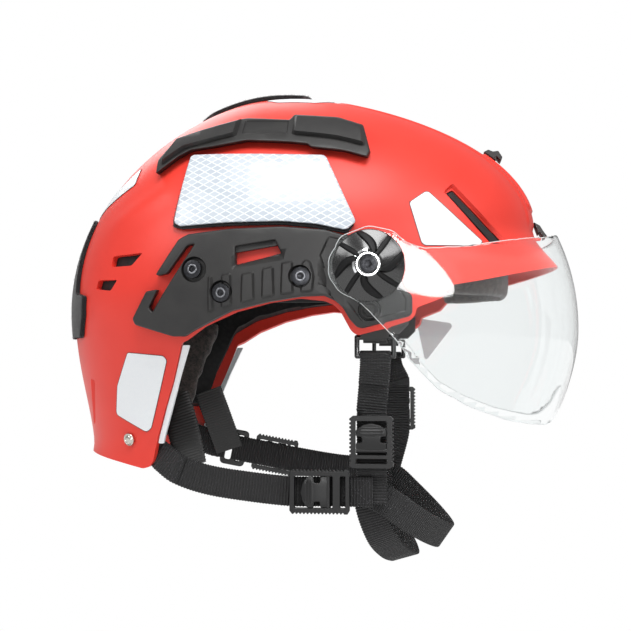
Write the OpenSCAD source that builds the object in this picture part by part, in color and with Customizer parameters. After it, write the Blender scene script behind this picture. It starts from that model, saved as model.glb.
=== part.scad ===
/* [Shell] */
// Height of the crown above the head seat
crown_z = 133; // [130:0.5:137]
// Half of the shell's width at the ears
half_width = 112; // [109:0.5:115]
// Reach of the brow in front of the head seat
brow_x = 150.5; // [149:0.5:152]
// Reach of the brim tip in front of the head seat
brim_x = 166.5; // [163:0.5:167.5]
// Reach of the rear behind the head seat
rear_x = 150.5; // [148:0.5:153]
// Thickness of the shell wall
shell_wall = 3.5; // [3:0.1:4.5]
// Height of the raised front panel
panel_rise = 2.4; // [1.5:0.1:3]
// Width of the raised front panel
front_panel_w = 62; // [50:1:70]

/* [Liner] */
// Thickness of the foam liner
liner_t = 12; // [8:0.5:14]
// Thickness of the comfort pads
pad_t = 8; // [5:0.5:10]
// Height of the headband's strip
band_h = 20; // [16:1:24]
// Thickness of the headband's strip
band_t = 1.8; // [1.4:0.1:2.4]
// Radius of the size dial
dial_r = 15; // [12:0.5:18]
// Depth of the size dial
dial_h = 9; // [7:0.5:11]

/* [Side rails] */
// Thickness of the side rail
rail_t = 6; // [5:0.5:7]
// Radius of a rail screw's head
screw_head_r = 5.2; // [4.5:0.1:5.5]
// Radius of a rail screw's shank
screw_r = 2.5; // [2:0.1:3]
// Radius of the round accessory hole in the rail
accessory_r = 3; // [2.5:0.1:3.5]

/* [Top rails] */
// Thickness of the top rail's end blocks
top_rail_t = 9; // [7:0.5:11]

/* [Visor] */
// Thickness of the clear visor
visor_t = 2; // [1.5:0.1:2.5]
// Radius of the tension knob
knob_r = 20.5; // [18:0.5:22]
// Height of the tension knob
knob_h = 11; // [9:0.5:13]
// Number of blades on the knob
blades = 8; // [6:1:10]
// Radius of the pivot screw's shank
pivot_r = 3; // [2.5:0.1:3.5]

/* [Trim] */
// Thickness of the hook-and-loop patches
velcro_t = 2.6; // [2:0.1:3.2]
// Thickness of the reflective panel
reflector_t = 1.2; // [0.8:0.1:1.6]
// Thickness of the reflective stickers
sticker_t = 0.6; // [0.4:0.1:1]
// Radius of the nape rivet's head
rivet_r = 4; // [3:0.1:5]

/* [Straps] */
// Width of the webbing
web_w = 18; // [15:0.5:20]
// Thickness of the webbing
web_t = 1.6; // [1.2:0.1:2]
// Thickness of the wire in the strap rings
ring_wire = 3; // [2.4:0.1:3.4]
// Thickness of a buckle's frame
buckle_t = 4; // [3.4:0.1:4.4]
// Radius of a buckle lever's pin
lever_pin_r = 1; // [0.8:0.1:1.2]

/* [Hidden] */
$fn = 40;
gap = 0.3;
cols = 60;
rows = 16;
low_z = -118;
crown_x = -13;
plan_n = 2.25;
brow_z = 42;
side_z = 5;
inner_face = -shell_wall - gap;
liner_face = inner_face - liner_t;

// Profiles as chained cubic curves, from the crown down, each point [reach, height]
rear_line = [[-crown_x, crown_z], [49.5, crown_z], [rear_x, 86], [rear_x, -12], [rear_x, -45],
  [rear_x - 9, -70], [rear_x - 11, -92], [rear_x - 11.5, -96], [rear_x - 9, -100],
  [rear_x - 9, low_z - 4]];
front_line = [[crown_x, crown_z], [30.5, crown_z], [brow_x + 2, 102.5], [brow_x, brow_z],
  [brow_x + 1, 38], [brow_x + 6, 31], [brim_x, 21], [brim_x + 2, 18], [brim_x + 2, 10],
  [brim_x + 2, low_z - 4]];
inner_front_line = [[crown_x, crown_z], [30.5, crown_z], [brow_x + 2, 102.5], [brow_x, brow_z],
  [brow_x + 1, 30], [brow_x + 1, 10], [brow_x + 1, low_z - 4]];
side_line = [[0, crown_z], [60, crown_z], [half_width, 80], [half_width, side_z], [half_width, -26],
  [half_width - 29, -55], [half_width - 36, low_z - 4]];
function bezier(p, k, s) =
  pow(1 - s, 3) * p[k] + 3 * s * pow(1 - s, 2) * p[k + 1]
  + 3 * s * s * (1 - s) * p[k + 2] + s * s * s * p[k + 3];
function by_height(p) = [for (k = [0:3:len(p) - 4], s = [0:0.02:1]) let (q = bezier(p, k, s)) [q.y, q.x]];
rear_table = by_height(rear_line);
front_table = by_height(front_line);
inner_front_table = by_height(inner_front_line);
side_table = by_height(side_line);

// Where the outer skin lies, by the angle round the head and the height
function reach(a, z, front) = cos(a) > 0 ? lookup(z, front) - crown_x : lookup(z, rear_table) + crown_x;
function signed_pow(v) = sign(v) * pow(abs(v), 2 / plan_n);
function skin_at(a, z, front) = [
  crown_x + reach(a, z, front) * signed_pow(cos(a)), lookup(z, side_table) * signed_pow(sin(a)), z];
function unit(v) = v / norm(v);
function skin_normal(a, z, front) = unit(cross(
  skin_at(a + 1.5, z, front) - skin_at(a - 1.5, z, front),
  skin_at(a, min(z + 1.5, crown_z - 0.01), front) - skin_at(a, z - 1.5, front)));
function skin(a, z, off, front) = skin_at(a, z, front) + off * skin_normal(a, z, front);
// Distance of the skin from the middle at a place seen from the side
function skin_y(x, z) = let (
    r = x > crown_x ? lookup(z, front_table) - crown_x : lookup(z, rear_table) + crown_x)
  lookup(z, side_table) * pow(1 - pow(abs(x - crown_x) / r, plan_n), 1 / plan_n);
// Angle round the head of a place on the right-hand skin seen from the side
function skin_angle(x, z) = let (
    u = (x - crown_x) / (x > crown_x ? lookup(z, front_table) - crown_x : lookup(z, rear_table) + crown_x))
  -acos(sign(u) * pow(abs(u), plan_n / 2));
function skin_place(x, z, off) = skin(skin_angle(x, z), z, off, front_table);
// Least distance of the skin from the middle within a circle seen from the side
function rim_y(p, r) = min([for (a = [0:30:330]) skin_y(p.x + r * cos(a), p.y + r * sin(a))]);
function row_z(j) = crown_z - (crown_z - low_z) * pow(j / rows, 1.6);
function row_of(z) = rows * pow((crown_z - z) / (crown_z - low_z), 1 / 1.6);
// Point on the curve through four points, for straps
function spline(p, k, s) = let (
    a = p[max(k - 1, 0)], b = p[k], c = p[k + 1], d = p[min(k + 2, len(p) - 1)])
  0.5 * (2 * b + (c - a) * s + (2 * a - 5 * b + 4 * c - d) * s * s + (3 * b - a - 3 * c + d) * s * s * s);

// Grid of quads between two sheets of points, each w wide and h tall, closed along its rim
function sheet_faces(w, h) = let (n = w * h) concat(
  [for (j = [0:h - 2], i = [0:w - 2]) let (k = j * w + i)
    each [[k, k + 1, k + w + 1], [k, k + w + 1, k + w]]],
  [for (j = [0:h - 2], i = [0:w - 2]) let (k = n + j * w + i)
    each [[k, k + w + 1, k + 1], [k, k + w, k + w + 1]]],
  [for (i = [0:w - 2], j = [0, h - 1]) let (k = j * w + i)
    each j == 0 ? [[k, k + n, k + n + 1], [k, k + n + 1, k + 1]]
      : [[k, k + 1, k + n + 1], [k, k + n + 1, k + n]]],
  [for (j = [0:h - 2], i = [0, w - 1]) let (k = j * w + i)
    each i == 0 ? [[k, k + w, k + n + w], [k, k + n + w, k + n]]
      : [[k, k + n + w, k + w], [k, k + n, k + n + w]]]);

// Closed dome between two distances from the skin, from the crown down to a row
module dome(inner, outer, last = rows, front = front_table) {
  ring = cols * last;
  function id(s, j, i) = s * ring + (j - 1) * cols + i % cols;
  points = concat(
    [for (off = [outer, inner], j = [1:last], i = [0:cols - 1]) skin(360 * i / cols, row_z(j), off, front)],
    [[crown_x, 0, crown_z + outer], [crown_x, 0, crown_z + inner]]);
  faces = concat(
    [for (i = [0:cols - 1]) each [
      [2 * ring, id(0, 1, i + 1), id(0, 1, i)], [2 * ring + 1, id(1, 1, i), id(1, 1, i + 1)]]],
    [for (j = [1:last - 1], i = [0:cols - 1]) each [
      [id(0, j, i), id(0, j, i + 1), id(0, j + 1, i + 1)],
      [id(0, j, i), id(0, j + 1, i + 1), id(0, j + 1, i)],
      [id(1, j, i), id(1, j + 1, i + 1), id(1, j, i + 1)],
      [id(1, j, i), id(1, j + 1, i), id(1, j + 1, i + 1)]]],
    [for (i = [0:cols - 1]) each [
      [id(0, last, i), id(0, last, i + 1), id(1, last, i + 1)],
      [id(0, last, i), id(1, last, i + 1), id(1, last, i)]]]);
  polyhedron(points, faces, convexity = 6);
}

// Block between two distances from the skin, over a range of angles and heights
module skin_block(inner, outer, angles, heights, front = front_table) {
  i0 = floor(angles[0] * cols / 360);
  i1 = ceil(angles[1] * cols / 360);
  j0 = max(1, floor(row_of(heights[0])));
  j1 = min(rows, ceil(row_of(heights[1])));
  points = [for (off = [outer, inner], j = [j0:j1], i = [i0:i1])
    skin(360 * i / cols, row_z(j), off, front)];
  polyhedron(points, sheet_faces(i1 - i0 + 1, j1 - j0 + 1), convexity = 4);
}
module from_side(depth = 200) rotate([90, 0, 0]) linear_extrude(depth) children();
module through_side() rotate([90, 0, 0]) linear_extrude(400, center = true) children();
// Piece of the right-hand skin whose outline is seen from the side
module side_piece(inner, outer, angles, heights, front = front_table) intersection() {
  skin_block(inner, outer, angles, heights, front);
  from_side() children();
}
module left() mirror([0, 1, 0]) children();
module both() {
  children();
  left() children();
}
// Cylinder from the right-hand side, from one distance out to a further one
module side_pin(place, r, near, far) translate([place.x, -near, place.y]) rotate([90, 0, 0])
  cylinder(h = far - near, r = r);
// Cylinder square to the right-hand skin, between two distances from it
module skin_pin(place, r, near, far) {
  a = skin_angle(place.x, place.y);
  n = skin_normal(a, place.y, front_table);
  translate(skin_at(a, place.y, front_table) + near * n) rotate([0, acos(n.z), atan2(n.y, n.x)])
    cylinder(h = far - near, r = r);
}

// Outlines on the right-hand side, seen from the side as [forward, up]
ear_edge = [[-61.5, -30], [-57, -28], [-45, -20], [-26, -12], [-6.5, -7], [10.5, -4.5], [25, -6],
  [30, -8.5], [33.5, -12], [39, -22.5], [41, -24.5], [43, -25.5], [59, -21.5], [73, -17], [76, -14],
  [77, -9.5], [84.5, -6.5], [91, -4], [98, 4], [114, 7], [132, 11], [151, 15.5], [180, 23]];
nape_edge = [[-69, -53], [-75, -68], [-81.5, -86], [-86, -103]];
nape_bottom = [[-89, -106], [-93, -107], [-109, -104], [-136, -99.5], [-200, -99.5]];
liner_edge = [[-64, -22], [-48, -12], [-26, -5], [-6, -1], [10, 1], [26, -1], [34, -3], [40, -1],
  [75, -1], [78, 1], [90, 5], [98, 12], [114, 16], [132, 20], [180, 22]];
liner_nape = [[-76, -52], [-82.5, -75], [-114, -75], [-116, -94], [-200, -94]];
vent_upper = [[-107, 23], [-85.5, 24], [-93, 16.5], [-108, 16.5]];
vent_lower = [[-118, 9], [-103, 8.5], [-108, 2], [-120, 3.5]];
front_vent = [[94, 59.5], [98, 62], [128, 30.5], [121, 29.5]];
front_vent_recess = [[93, 60], [98.5, 65.5], [132, 29.5], [120.5, 28.5]];
nape_groove = [[-130.5, -51], [-126.5, -53], [-131, -80], [-133.5, -82]];
rail_screw_at = [[-51, 12.5], [-34.5, -0.5], [11, 8]];
accessory_at = [49.5, -9.9];
rivet_at = [-101.5, -89];
pivot_at = [50.5, 14];
// Faces met along the visor's pivot, as distances from the middle
pivot_skin = skin_y(pivot_at.x, pivot_at.y);
pivot_face = pivot_skin + rail_t + 0.8;
visor_half = pivot_face + gap + visor_t;

module shell() color("tomato") difference() {
  union() {
    difference() {
      dome(-shell_wall, 0);
      both() side_piece(-1.5, 5, [285, 345], [75, 15]) polygon(front_vent_recess);
    }
    front_panel();
  }
  through_side() polygon(concat([for (k = [len(ear_edge) - 1:-1:0]) ear_edge[k]], nape_edge, nape_bottom,
    [[-200, -200], [250, -200]]));
  both() {
    from_side() polygon(vent_upper);
    from_side() polygon(vent_lower);
    from_side() polygon(front_vent);
    side_piece(-1.8, 4, [205, 235], [-45, -95]) polygon(nape_groove);
    for (p = rail_screw_at) skin_pin(p, screw_r + gap, -10, 10);
    side_pin(pivot_at, pivot_r + gap, 80, 130);
    skin_pin(rivet_at, rivet_r / 2 + gap, -10, 10);
  }
}
module front_panel() intersection() {
  skin_block(-1, panel_rise, [-30, 30], [100, 52]);
  translate([100, 0, 75]) cube([200, front_panel_w, 38], center = true);
}
module vent_meshes() color("dimgray") both()
  side_piece(-shell_wall + 0.2, -shell_wall + 1.2, [285, 345], [75, 15])
  polygon([[95, 59.2], [98, 60.8], [126.7, 30.8], [121.4, 30.2]]);

// Inside
module liner() color("#1c1c1c") difference() {
  dome(liner_face, inner_face, rows, inner_front_table);
  through_side() polygon(concat([for (k = [len(liner_edge) - 1:-1:0]) liner_edge[k]], liner_nape,
    [[-200, -200], [250, -200]]));
  translate([-160, -dial_room / 2, -200]) cube([100, dial_room, 180]);
  both() {
    from_side() polygon(vent_upper);
    from_side() polygon(vent_lower);
    from_side() polygon(front_vent);
    for (p = rail_screw_at) skin_pin(p, nut_r + 1, -30, 5);
    side_pin(pivot_at, nut_r + 1, 60, 130);
  }
}
dial_room = 74;
nut_r = 5;
nut_t = 3;
nut_seat = 0.9;
pad_out = liner_face - gap;
module brow_pad() color("#3a3a3c") intersection() {
  skin_block(pad_out - pad_t, pad_out, [-48, 48], [28, -12], inner_front_table);
  translate([50, 0, 0]) rotate([90, 0, 90]) linear_extrude(200)
    polygon([[-88, 1], [-80, -3], [80, -3], [88, 1], [88, 20], [80, 26], [-80, 26], [-88, 20]]);
}
module crown_pad() color("#2a2a2c") intersection() {
  dome(pad_out - pad_t, pad_out, 4, inner_front_table);
  translate([crown_x, 0, 60]) cylinder(h = 80, r = 46, $fn = 60);
}
module side_pad_right() color("#2a2a2c")
  side_piece(pad_out - pad_t, pad_out, [240, 305], [75, 5], inner_front_table)
  polygon([[-46, 12], [-40, 8], [40, 8], [46, 12], [46, 58], [40, 64], [-40, 64], [-46, 58]]);
module side_pad_left() left() side_pad_right();
module nape_pad_right() color("#2a2a2c")
  side_piece(pad_out - pad_t, pad_out, [200, 250], [0, -100], inner_front_table)
  polygon([[-70, -12], [-72, -26], [-80, -52], [-87, -80], [-90, -90], [-104, -90], [-108, -84],
    [-104, -12]]);
module nape_pad_left() left() nape_pad_right();

// Headband with the size dial at the back of the head
band_x = -8;
band_long = rear_x - 43.5;
band_wide = half_width - 32;
band_z = 2;
dial_z = -38;
function band_outline(off) = [for (a = [0:5:355])
  [band_x + (band_long + off) * cos(a), (band_wide + off) * sin(a)]];
band_lug_at = [50, 142, 218, 310];
module headband() color("#202020") {
  difference() {
    union() {
      translate([0, 0, band_z]) linear_extrude(band_h) polygon(band_outline(0));
      for (s = [-1, 1]) band_arm(s);
      for (a = band_lug_at) band_lug(a);
    }
    translate([0, 0, -150]) linear_extrude(300) polygon(band_outline(-band_t));
  }
}
module band_arm(s) intersection() {
  translate([0, 0, -80]) linear_extrude(100) polygon(band_outline(0));
  translate([-150, 0, 0]) rotate([90, 0, 90]) linear_extrude(80)
    polygon([[s * 50, band_z + 3], [s * 34, band_z + 3], [s * 18, dial_z + 12], [s * 18, dial_z - 12],
      [s * 30, dial_z - 12]]);
}
module band_lug(a) {
  start = [band_x + band_long * cos(a), band_wide * sin(a)];
  end = lug_end(a);
  run = end - start;
  translate([start.x, start.y, band_z + 5]) rotate([0, 0, atan2(run.y, run.x)])
    translate([-band_t / 2, -5, 0]) cube([norm(run) + band_t / 2 - lug_slack, 10, 8]);
}
// Room for the slant of the liner across a lug's width
lug_slack = 3;
// Where a lug meets the liner: the liner's inside along the same direction
function lug_end(a) = let (q = skin(lug_turn(a), band_z + 9, pad_out, inner_front_table)) [q.x, q.y];
function lug_turn(a) = a < 90 ? 62 : a < 180 ? 145 : a < 270 ? 215 : 298;
housing_x = 30 - rear_x;
housing_t = 5;
housing_boss = [24, 5];
// The bosses end just short of the headband's curved arms
boss_end = band_x - band_long * sqrt(1 - pow((housing_boss.x - housing_boss.y) / band_wide, 2)) - gap;
module size_dial_housing() color("#262626") difference() {
  union() {
    translate([housing_x, 0, dial_z]) rotate([90, 0, 90]) linear_extrude(housing_t)
      polygon([[-36, 8], [-30, 16], [30, 16], [36, 8], [36, -8], [30, -16], [-30, -16], [-36, -8]]);
    for (s = [-1, 1]) translate([housing_x + 1, s * housing_boss.x, dial_z]) rotate([0, 90, 0])
      cylinder(h = boss_end - housing_x - 1, r = housing_boss.y);
  }
  translate([housing_x - 1, 0, dial_z]) rotate([0, 90, 0]) cylinder(h = housing_t + 2, r = 4 + gap);
}
module size_dial() color("#303030") translate([housing_x - gap - dial_h, 0, dial_z]) rotate([0, 90, 0]) {
  difference() {
    cylinder(h = dial_h, r = dial_r, $fn = 48);
    for (k = [0:11]) rotate(30 * k) translate([dial_r + 1, 0, -1])
      cylinder(h = dial_h + 2, r = 2.2, $fn = 20);
    translate([0, 0, -1]) cylinder(h = 3, r = dial_r - 5);
  }
  translate([0, 0, dial_h]) cylinder(h = gap + 5, r = 4);
}

// Side rails
rail_outline = [[-55, 33.5], [-61, 30.5], [-75, 10], [-73, 9.5], [-67.5, 10.5], [-55.5, 26.5],
  [-51, 27.5], [-52.5, 25], [-71.5, -3], [-77.5, -12], [-79.5, -9], [-73.5, 1.5], [-81, 0.5],
  [-91, -15.5], [-89.5, -19], [-65.5, -26], [-58, -26], [-52, -22.5], [-29, -11.5], [-7.5, -6.5],
  [11.5, -3.5], [24.5, -3], [31, -6], [35, -9.5], [39, -16.5], [43, -21], [46, -21.5], [73, -14.5],
  [74.5, -12.5], [74.5, -3], [72, 0], [70, 3], [64, 30], [37, 31.5], [25, 35], [0, 37], [-30, 36]];
rail_slot = [[-26.5, 25.5], [-3.5, 29], [0, 21.5], [-26, 15]];
rail_lip = [[-28.5, 27.5], [-2, 31], [3, 20], [-28, 12.5], [-28, 15], [-26.5, 14.5], [0.8, 20.8],
  [-3.2, 29.6], [-27, 26]];
rail_ribs_x = [-28, -21, -14, -7, 0, 22];
// Radius of the flat face that the visor's ear turns on
ear_r = 28;
module side_rail_right() color("#37393b") difference() {
  union() {
    difference() {
      side_piece(gap, rail_t, [225, 310], [45, -35]) polygon(rail_outline);
      side_pin(pivot_at, ear_r, pivot_face, 140);
    }
    side_piece(rail_t - 1, rail_t + 1.2, [245, 285], [45, -15]) polygon(rail_lip);
    for (x = rail_ribs_x) side_piece(rail_t - 1, rail_t + 1.2, [240, 300], [35, -25])
      polygon([[x - 1.6, -4], [x + 1.6, -4], [x + 1.6, 9], [x + 1, 10], [x - 1, 10], [x - 1.6, 9]]);
    side_pin(pivot_at, 12, pivot_skin + 3, pivot_face);
    skin_pin(accessory_at, 2 * accessory_r + 0.5, 3, rail_t + 0.6);
  }
  from_side() polygon(rail_slot);
  for (p = rail_screw_at) {
    skin_pin(p, screw_r + gap, -5, 15);
    skin_pin(p, screw_head_r + 1, rail_t - 3, 15);
  }
  skin_pin(accessory_at, accessory_r, -2, rail_t + 4);
  side_pin(pivot_at, pivot_r + gap, 80, 140);
}
module side_rail_left() left() side_rail_right();
// Screw head with a hexagonal socket, standing on z = 0, with its shank below and a ring nut at its end
module socket_screw(head_r, head_t, shank, deep, socket) {
  difference() {
    cylinder(h = head_t, r = head_r);
    translate([0, 0, head_t * 0.3]) cylinder(h = head_t, r = socket, $fn = 6);
  }
  translate([0, 0, -deep]) cylinder(h = deep + 0.01, r = shank);
  translate([0, 0, -deep]) cylinder(h = nut_t, r = nut_r);
}
module rail_screws_right() color("#2b2b2d") for (p = rail_screw_at) {
  a = skin_angle(p.x, p.y);
  n = skin_normal(a, p.y, front_table);
  seat = rail_t - 3 + gap;
  translate(skin_at(a, p.y, front_table) + seat * n) rotate([0, acos(n.z), atan2(n.y, n.x)])
    socket_screw(screw_head_r, 2.4, screw_r, seat - inner_face + nut_seat + nut_t, 1.8);
}
module rail_screws_left() left() rail_screws_right();

// Top rails
top_rail_base = [[-80.5, 73], [-67, 83], [-59, 87], [-43, 88.5], [-24.5, 91.5], [0, 90], [12.5, 88.5],
  [14.5, 86.5], [34, 84], [48, 80], [49.5, 84], [44.5, 102.5], [29, 108], [2.5, 110], [0, 106],
  [-26, 108], [-30, 107.5], [-71, 97], [-81, 82.5]];
top_rail_rear = [[-77, 79], [-63, 88], [-44, 92.5], [-31, 95.5], [-31, 107], [-70.5, 96.7], [-78, 82.5]];
top_rail_front = [[3, 96], [16, 94.5], [30, 92.5], [45.5, 88.5], [44, 102], [29, 107.5], [3, 109.5]];
module top_rail_right() color("#37393b") {
  side_piece(gap, top_rail_t - 3, [215, 325], [116, 62]) polygon(top_rail_base);
  side_piece(top_rail_t - 4, top_rail_t, [215, 265], [112, 72]) polygon(top_rail_rear);
  side_piece(top_rail_t - 4, top_rail_t, [270, 325], [114, 80]) polygon(top_rail_front);
}
module top_rail_left() left() top_rail_right();

// Trim on the shell
panel_outline = [[-61, 38.5], [-30, 40], [0, 40.3], [20, 38.5], [35.5, 35.2], [37.5, 35.5], [42, 39.5],
  [42, 41], [24, 80], [22, 81.5], [-57, 84], [-59, 83], [-65, 42.5], [-64.5, 40.5]];
velcro_outline = [[-60, 36.9], [-30, 38.2], [0, 38.7], [20, 36.8], [36.5, 33.4], [38.5, 34], [43.5, 38.5],
  [43.5, 41.5], [25, 81.5], [23, 83], [-58, 85.3], [-60.5, 84], [-66.5, 42.5], [-66, 38.5]];
module side_velcro_right() color("#18181a")
  side_piece(gap, velcro_t, [225, 310], [92, 28]) polygon(velcro_outline);
module side_velcro_left() left() side_velcro_right();
module side_reflector_right() color("#eef1f4")
  side_piece(velcro_t + 0.1, velcro_t + 0.1 + reflector_t, [225, 310], [92, 28]) polygon(panel_outline);
module side_reflector_left() left() side_reflector_right();
module crown_velcro() color("#18181a") intersection() {
  dome(gap, velcro_t, 4);
  translate([0, 0, 60]) linear_extrude(120)
    polygon([[-66, -14], [-56, -28], [-22, -33], [2, -24], [5, -12], [5, 12], [2, 24], [-22, 33],
      [-56, 28], [-66, 14]]);
}
module crown_sticker() color("#f2f4f6") intersection() {
  dome(gap, gap + sticker_t, 4);
  translate([0, 0, 60]) linear_extrude(120)
    polygon([[-20, -36], [-12, -42], [12, -40], [22, -28], [22, 28], [12, 40], [-12, 42], [-20, 36],
      [5, 25], [8, 12], [8, -12], [5, -25]]);
}
module rear_velcro() color("#18181a") intersection() {
  skin_block(gap, velcro_t, [138, 222], [56, -34]);
  translate([-200, 0, 0]) rotate([90, 0, 90]) linear_extrude(140)
    polygon([[-40, 50], [-44, 46], [-56, 2], [-68, 0], [-66, -12], [-58, -26], [58, -26], [66, -12],
      [68, 0], [56, 2], [44, 46], [40, 50]]);
}
module sticker(angles, heights) both() side_piece(gap, gap + sticker_t, angles, heights) children();
module rear_top_stickers() color("#f2f4f6") sticker([190, 250], [90, 42])
  polygon([[-97, 81], [-98, 69], [-134, 50], [-128, 58]]);
module front_side_stickers() color("#f2f4f6") sticker([280, 345], [70, 18])
  polygon([[73, 52], [74, 53.5], [82, 59.5], [84, 59.5], [115.5, 30.5], [114.5, 29], [105, 27.5],
    [82, 27], [80, 28.5]]);
module rear_side_stickers() color("#f2f4f6") sticker([200, 260], [-28, -92])
  polygon([[-98, -35.5], [-74, -37.5], [-72, -40], [-86, -81.5], [-88.5, -83.5], [-90.5, -83.5],
    [-110, -74], [-110.5, -72], [-108, -56]]);
module nape_edge_strips() color("#e9ecef") both()
  side_piece(-shell_wall + 0.6, -0.8, [205, 262], [-20, -85])
  polygon([[-61, -31], [-68.5, -53], [-74.2, -67.5], [-70.5, -67.5], [-64.5, -50], [-57, -31]]);
// Room for the hollow of the nape under a rivet's head
rivet_seat = 0.7;
module nape_rivets() color("#c9c7c0") both() {
  skin_pin(rivet_at, rivet_r, rivet_seat, rivet_seat + 1.5);
  skin_pin(rivet_at, rivet_r / 2, -anchor_deep - web_t / 2 - 1.4, rivet_seat + 0.1);
  skin_pin(rivet_at, rivet_r, -anchor_deep - web_t / 2 - 1.4, -anchor_deep - web_t / 2 - 0.4);
}
module hook(outline, wide) color("#1f2022") translate([0, wide / 2, 0]) rotate([90, 0, 0])
  linear_extrude(wide) polygon(outline);
// Heights of the strap hooks' seats on the front, from which their outlines are drawn
hook_upper_z = crown_z - 40;
hook_lower_z = brow_z + 3;
module front_hook_upper() translate([lookup(hook_upper_z, front_table), 0, hook_upper_z])
  hook([[1.1, 3], [4.1, 4.5], [7.1, 3.2], [10.6, 3.6], [13.3, -0.6], [12.1, -3], [9.6, -0.2], [8.1, -0.8],
    [9.1, -2.8]], 16);
module front_hook_lower() translate([lookup(hook_lower_z, front_table), 0, hook_lower_z])
  hook([[0.7, 4.6], [4.5, 2.5], [6.9, -1.4], [9.5, -5], [7, -6], [4.3, -2], [3.7, -3.5]], 14);

// Visor: a clear bowl that turns on the two pivots
visor_n = 2.4;
visor_cols = 36;
visor_rows = 12;
visor_top = 42;
visor_low = -84;
visor_line = [[164, visor_top], [175, 20], [178.5, 0], [178.5, -20], [178.5, -42], [169, -66],
  [161, visor_low]];
visor_table = by_height(visor_line);
visor_width = [[visor_low, visor_half - 9], [-60, visor_half - 3.5], [-30, visor_half - 0.7],
  [0, visor_half], [visor_top, visor_half]];
function visor_at(a, z) = [
  pivot_at.x + (lookup(z, visor_table) - pivot_at.x) * sign(cos(a)) * pow(abs(cos(a)), 2 / visor_n),
  lookup(z, visor_width) * sign(sin(a)) * pow(abs(sin(a)), 2 / visor_n), z];
function visor_normal(a, z) = unit(cross(
  visor_at(min(a + 1, 90), z) - visor_at(max(a - 1, -90), z), visor_at(a, z + 1) - visor_at(a, z - 1)));
function visor_skin(a, z, off) = let (q = visor_at(a, z)) abs(a) >= 89.9 ? [q.x, q.y + off * sign(a), z]
  : q + off * visor_normal(a, z);
visor_outline = [[200, 38.5], [163, 38.5], [155, 34.5], [122, 28.5], [106, 25.5], [82, 24], [72, 27],
  [64, 34], [50, 37], [34, 31], [27, 18], [27, 8], [33, -1], [45.5, -7.5], [60, -22.5], [68, -31.5],
  [72, -38.5], [79, -46], [89, -56.5], [106.5, -66.5], [129, -75], [144, -78], [154, -79.5], [160, -77.5],
  [166, -70], [174, -52], [180, -46], [200, -44]];
module visor_layer(inner, outer, first = 0) {
  // The straight ears run back past the pivots
  angles = concat(first == 0 ? [-91] : [], [for (k = [first:visor_cols]) -90 + 180 * k / visor_cols], [91]);
  heights = [for (k = [0:visor_rows]) visor_top + (visor_low - visor_top) * k / visor_rows];
  points = [for (off = [outer, inner], z = heights, a = angles) abs(a) > 90
    ? visor_skin(90 * sign(a), z, off) - [30, 0, 0] : visor_skin(a, z, off)];
  polyhedron(points, sheet_faces(len(angles), len(heights)), convexity = 6);
}
module visor() color([0.85, 0.9, 0.92, 0.35]) difference() {
  intersection() {
    visor_layer(-visor_t, 0);
    through_side() polygon(visor_outline);
  }
  both() side_pin(pivot_at, pivot_r + gap, 80, 140);
}
module visor_film() color([0.6, 0.6, 0.62, 0.6]) left() intersection() {
  mirror([0, 1, 0]) visor_layer(0.1, 0.5, 24);
  from_side() polygon([[72.5, -11], [75.5, -9], [98, -12.5], [99.5, -15], [80.5, -39.5], [78.5, -39.5]]);
}
knob_face = visor_half + gap;
module knob_right() color("#242527") difference() {
  translate([pivot_at.x, 0, pivot_at.y]) rotate([90, 0, 0]) {
    translate([0, 0, knob_face]) cylinder(h = knob_h - 4, r = knob_r, $fn = 64);
    translate([0, 0, knob_face + knob_h - 4.01]) cylinder(h = 4.01, r = 7, $fn = 48);
    for (k = [0:blades - 1]) rotate(360 * k / blades) translate([0, 0, knob_face + knob_h - 5])
      linear_extrude(4) polygon([[6, -2.5], [11, -3.5], [knob_r - 0.6, 0.5], [knob_r - 2, 5.5], [12, 2],
        [6, 1.5]]);
  }
  side_pin(pivot_at, pivot_r + gap, 80, 200);
  side_pin(pivot_at, 5.2, knob_face + knob_h - 3, 200);
}
module knob_left() left() knob_right();
pivot_seat = knob_face + knob_h - 3 + gap;
module pivot_screw_right() color("#2b2b2d")
  translate([pivot_at.x, -pivot_seat, pivot_at.y]) rotate([90, 0, 0])
  socket_screw(4.9, 2.2, pivot_r, pivot_seat - rim_y(pivot_at, nut_r) - inner_face + nut_seat + nut_t, 2.3);
module pivot_screw_left() left() pivot_screw_right();

// Webbing swept along hand-chosen places; each entry is [place, direction of its width]
module webbing(route, w = web_w, t = web_t, fine = 3) {
  n = (len(route) - 1) * fine;
  places = [for (r = route) r[0]];
  widths = [for (r = route) unit(r[1])];
  function span(k) = min(floor(k / fine), len(route) - 2);
  function share(k) = k == n ? 1 : k / fine % 1;
  at = [for (k = [0:n]) spline(places, span(k), share(k))];
  side = [for (k = [0:n]) spline(widths, span(k), share(k))];
  along = [for (k = [0:n]) unit(at[min(k + 1, n)] - at[max(k - 1, 0)])];
  across = [for (k = [0:n]) unit(side[k] - side[k] * along[k] * along[k])];
  out = [for (k = [0:n]) cross(along[k], across[k])];
  points = [for (k = [0:n]) each [
    at[k] + across[k] * w / 2 + out[k] * t / 2, at[k] - across[k] * w / 2 + out[k] * t / 2,
    at[k] - across[k] * w / 2 - out[k] * t / 2, at[k] + across[k] * w / 2 - out[k] * t / 2]];
  faces = concat(
    [[0, 1, 2], [0, 2, 3]],
    [for (k = [0:n - 1], c = [0:3]) let (p = 4 * k + c, q = 4 * k + (c + 1) % 4)
      each [[p, p + 4, q + 4], [p, q + 4, q]]],
    [[4 * n + 2, 4 * n + 1, 4 * n], [4 * n + 3, 4 * n + 2, 4 * n]]);
  polyhedron(points, faces, convexity = 4);
}
forward = [1, 0, 0];
upward = [0, 0, 1];
ring_size = [24.5, 14];
ring_at = [52.5, 21.6 - half_width, -32];
ring_bar = ring_size / 2 - [ring_wire, ring_wire] / 2;
ring_room = ring_wire / 2 + gap;
tab_t = 2.6;
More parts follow.
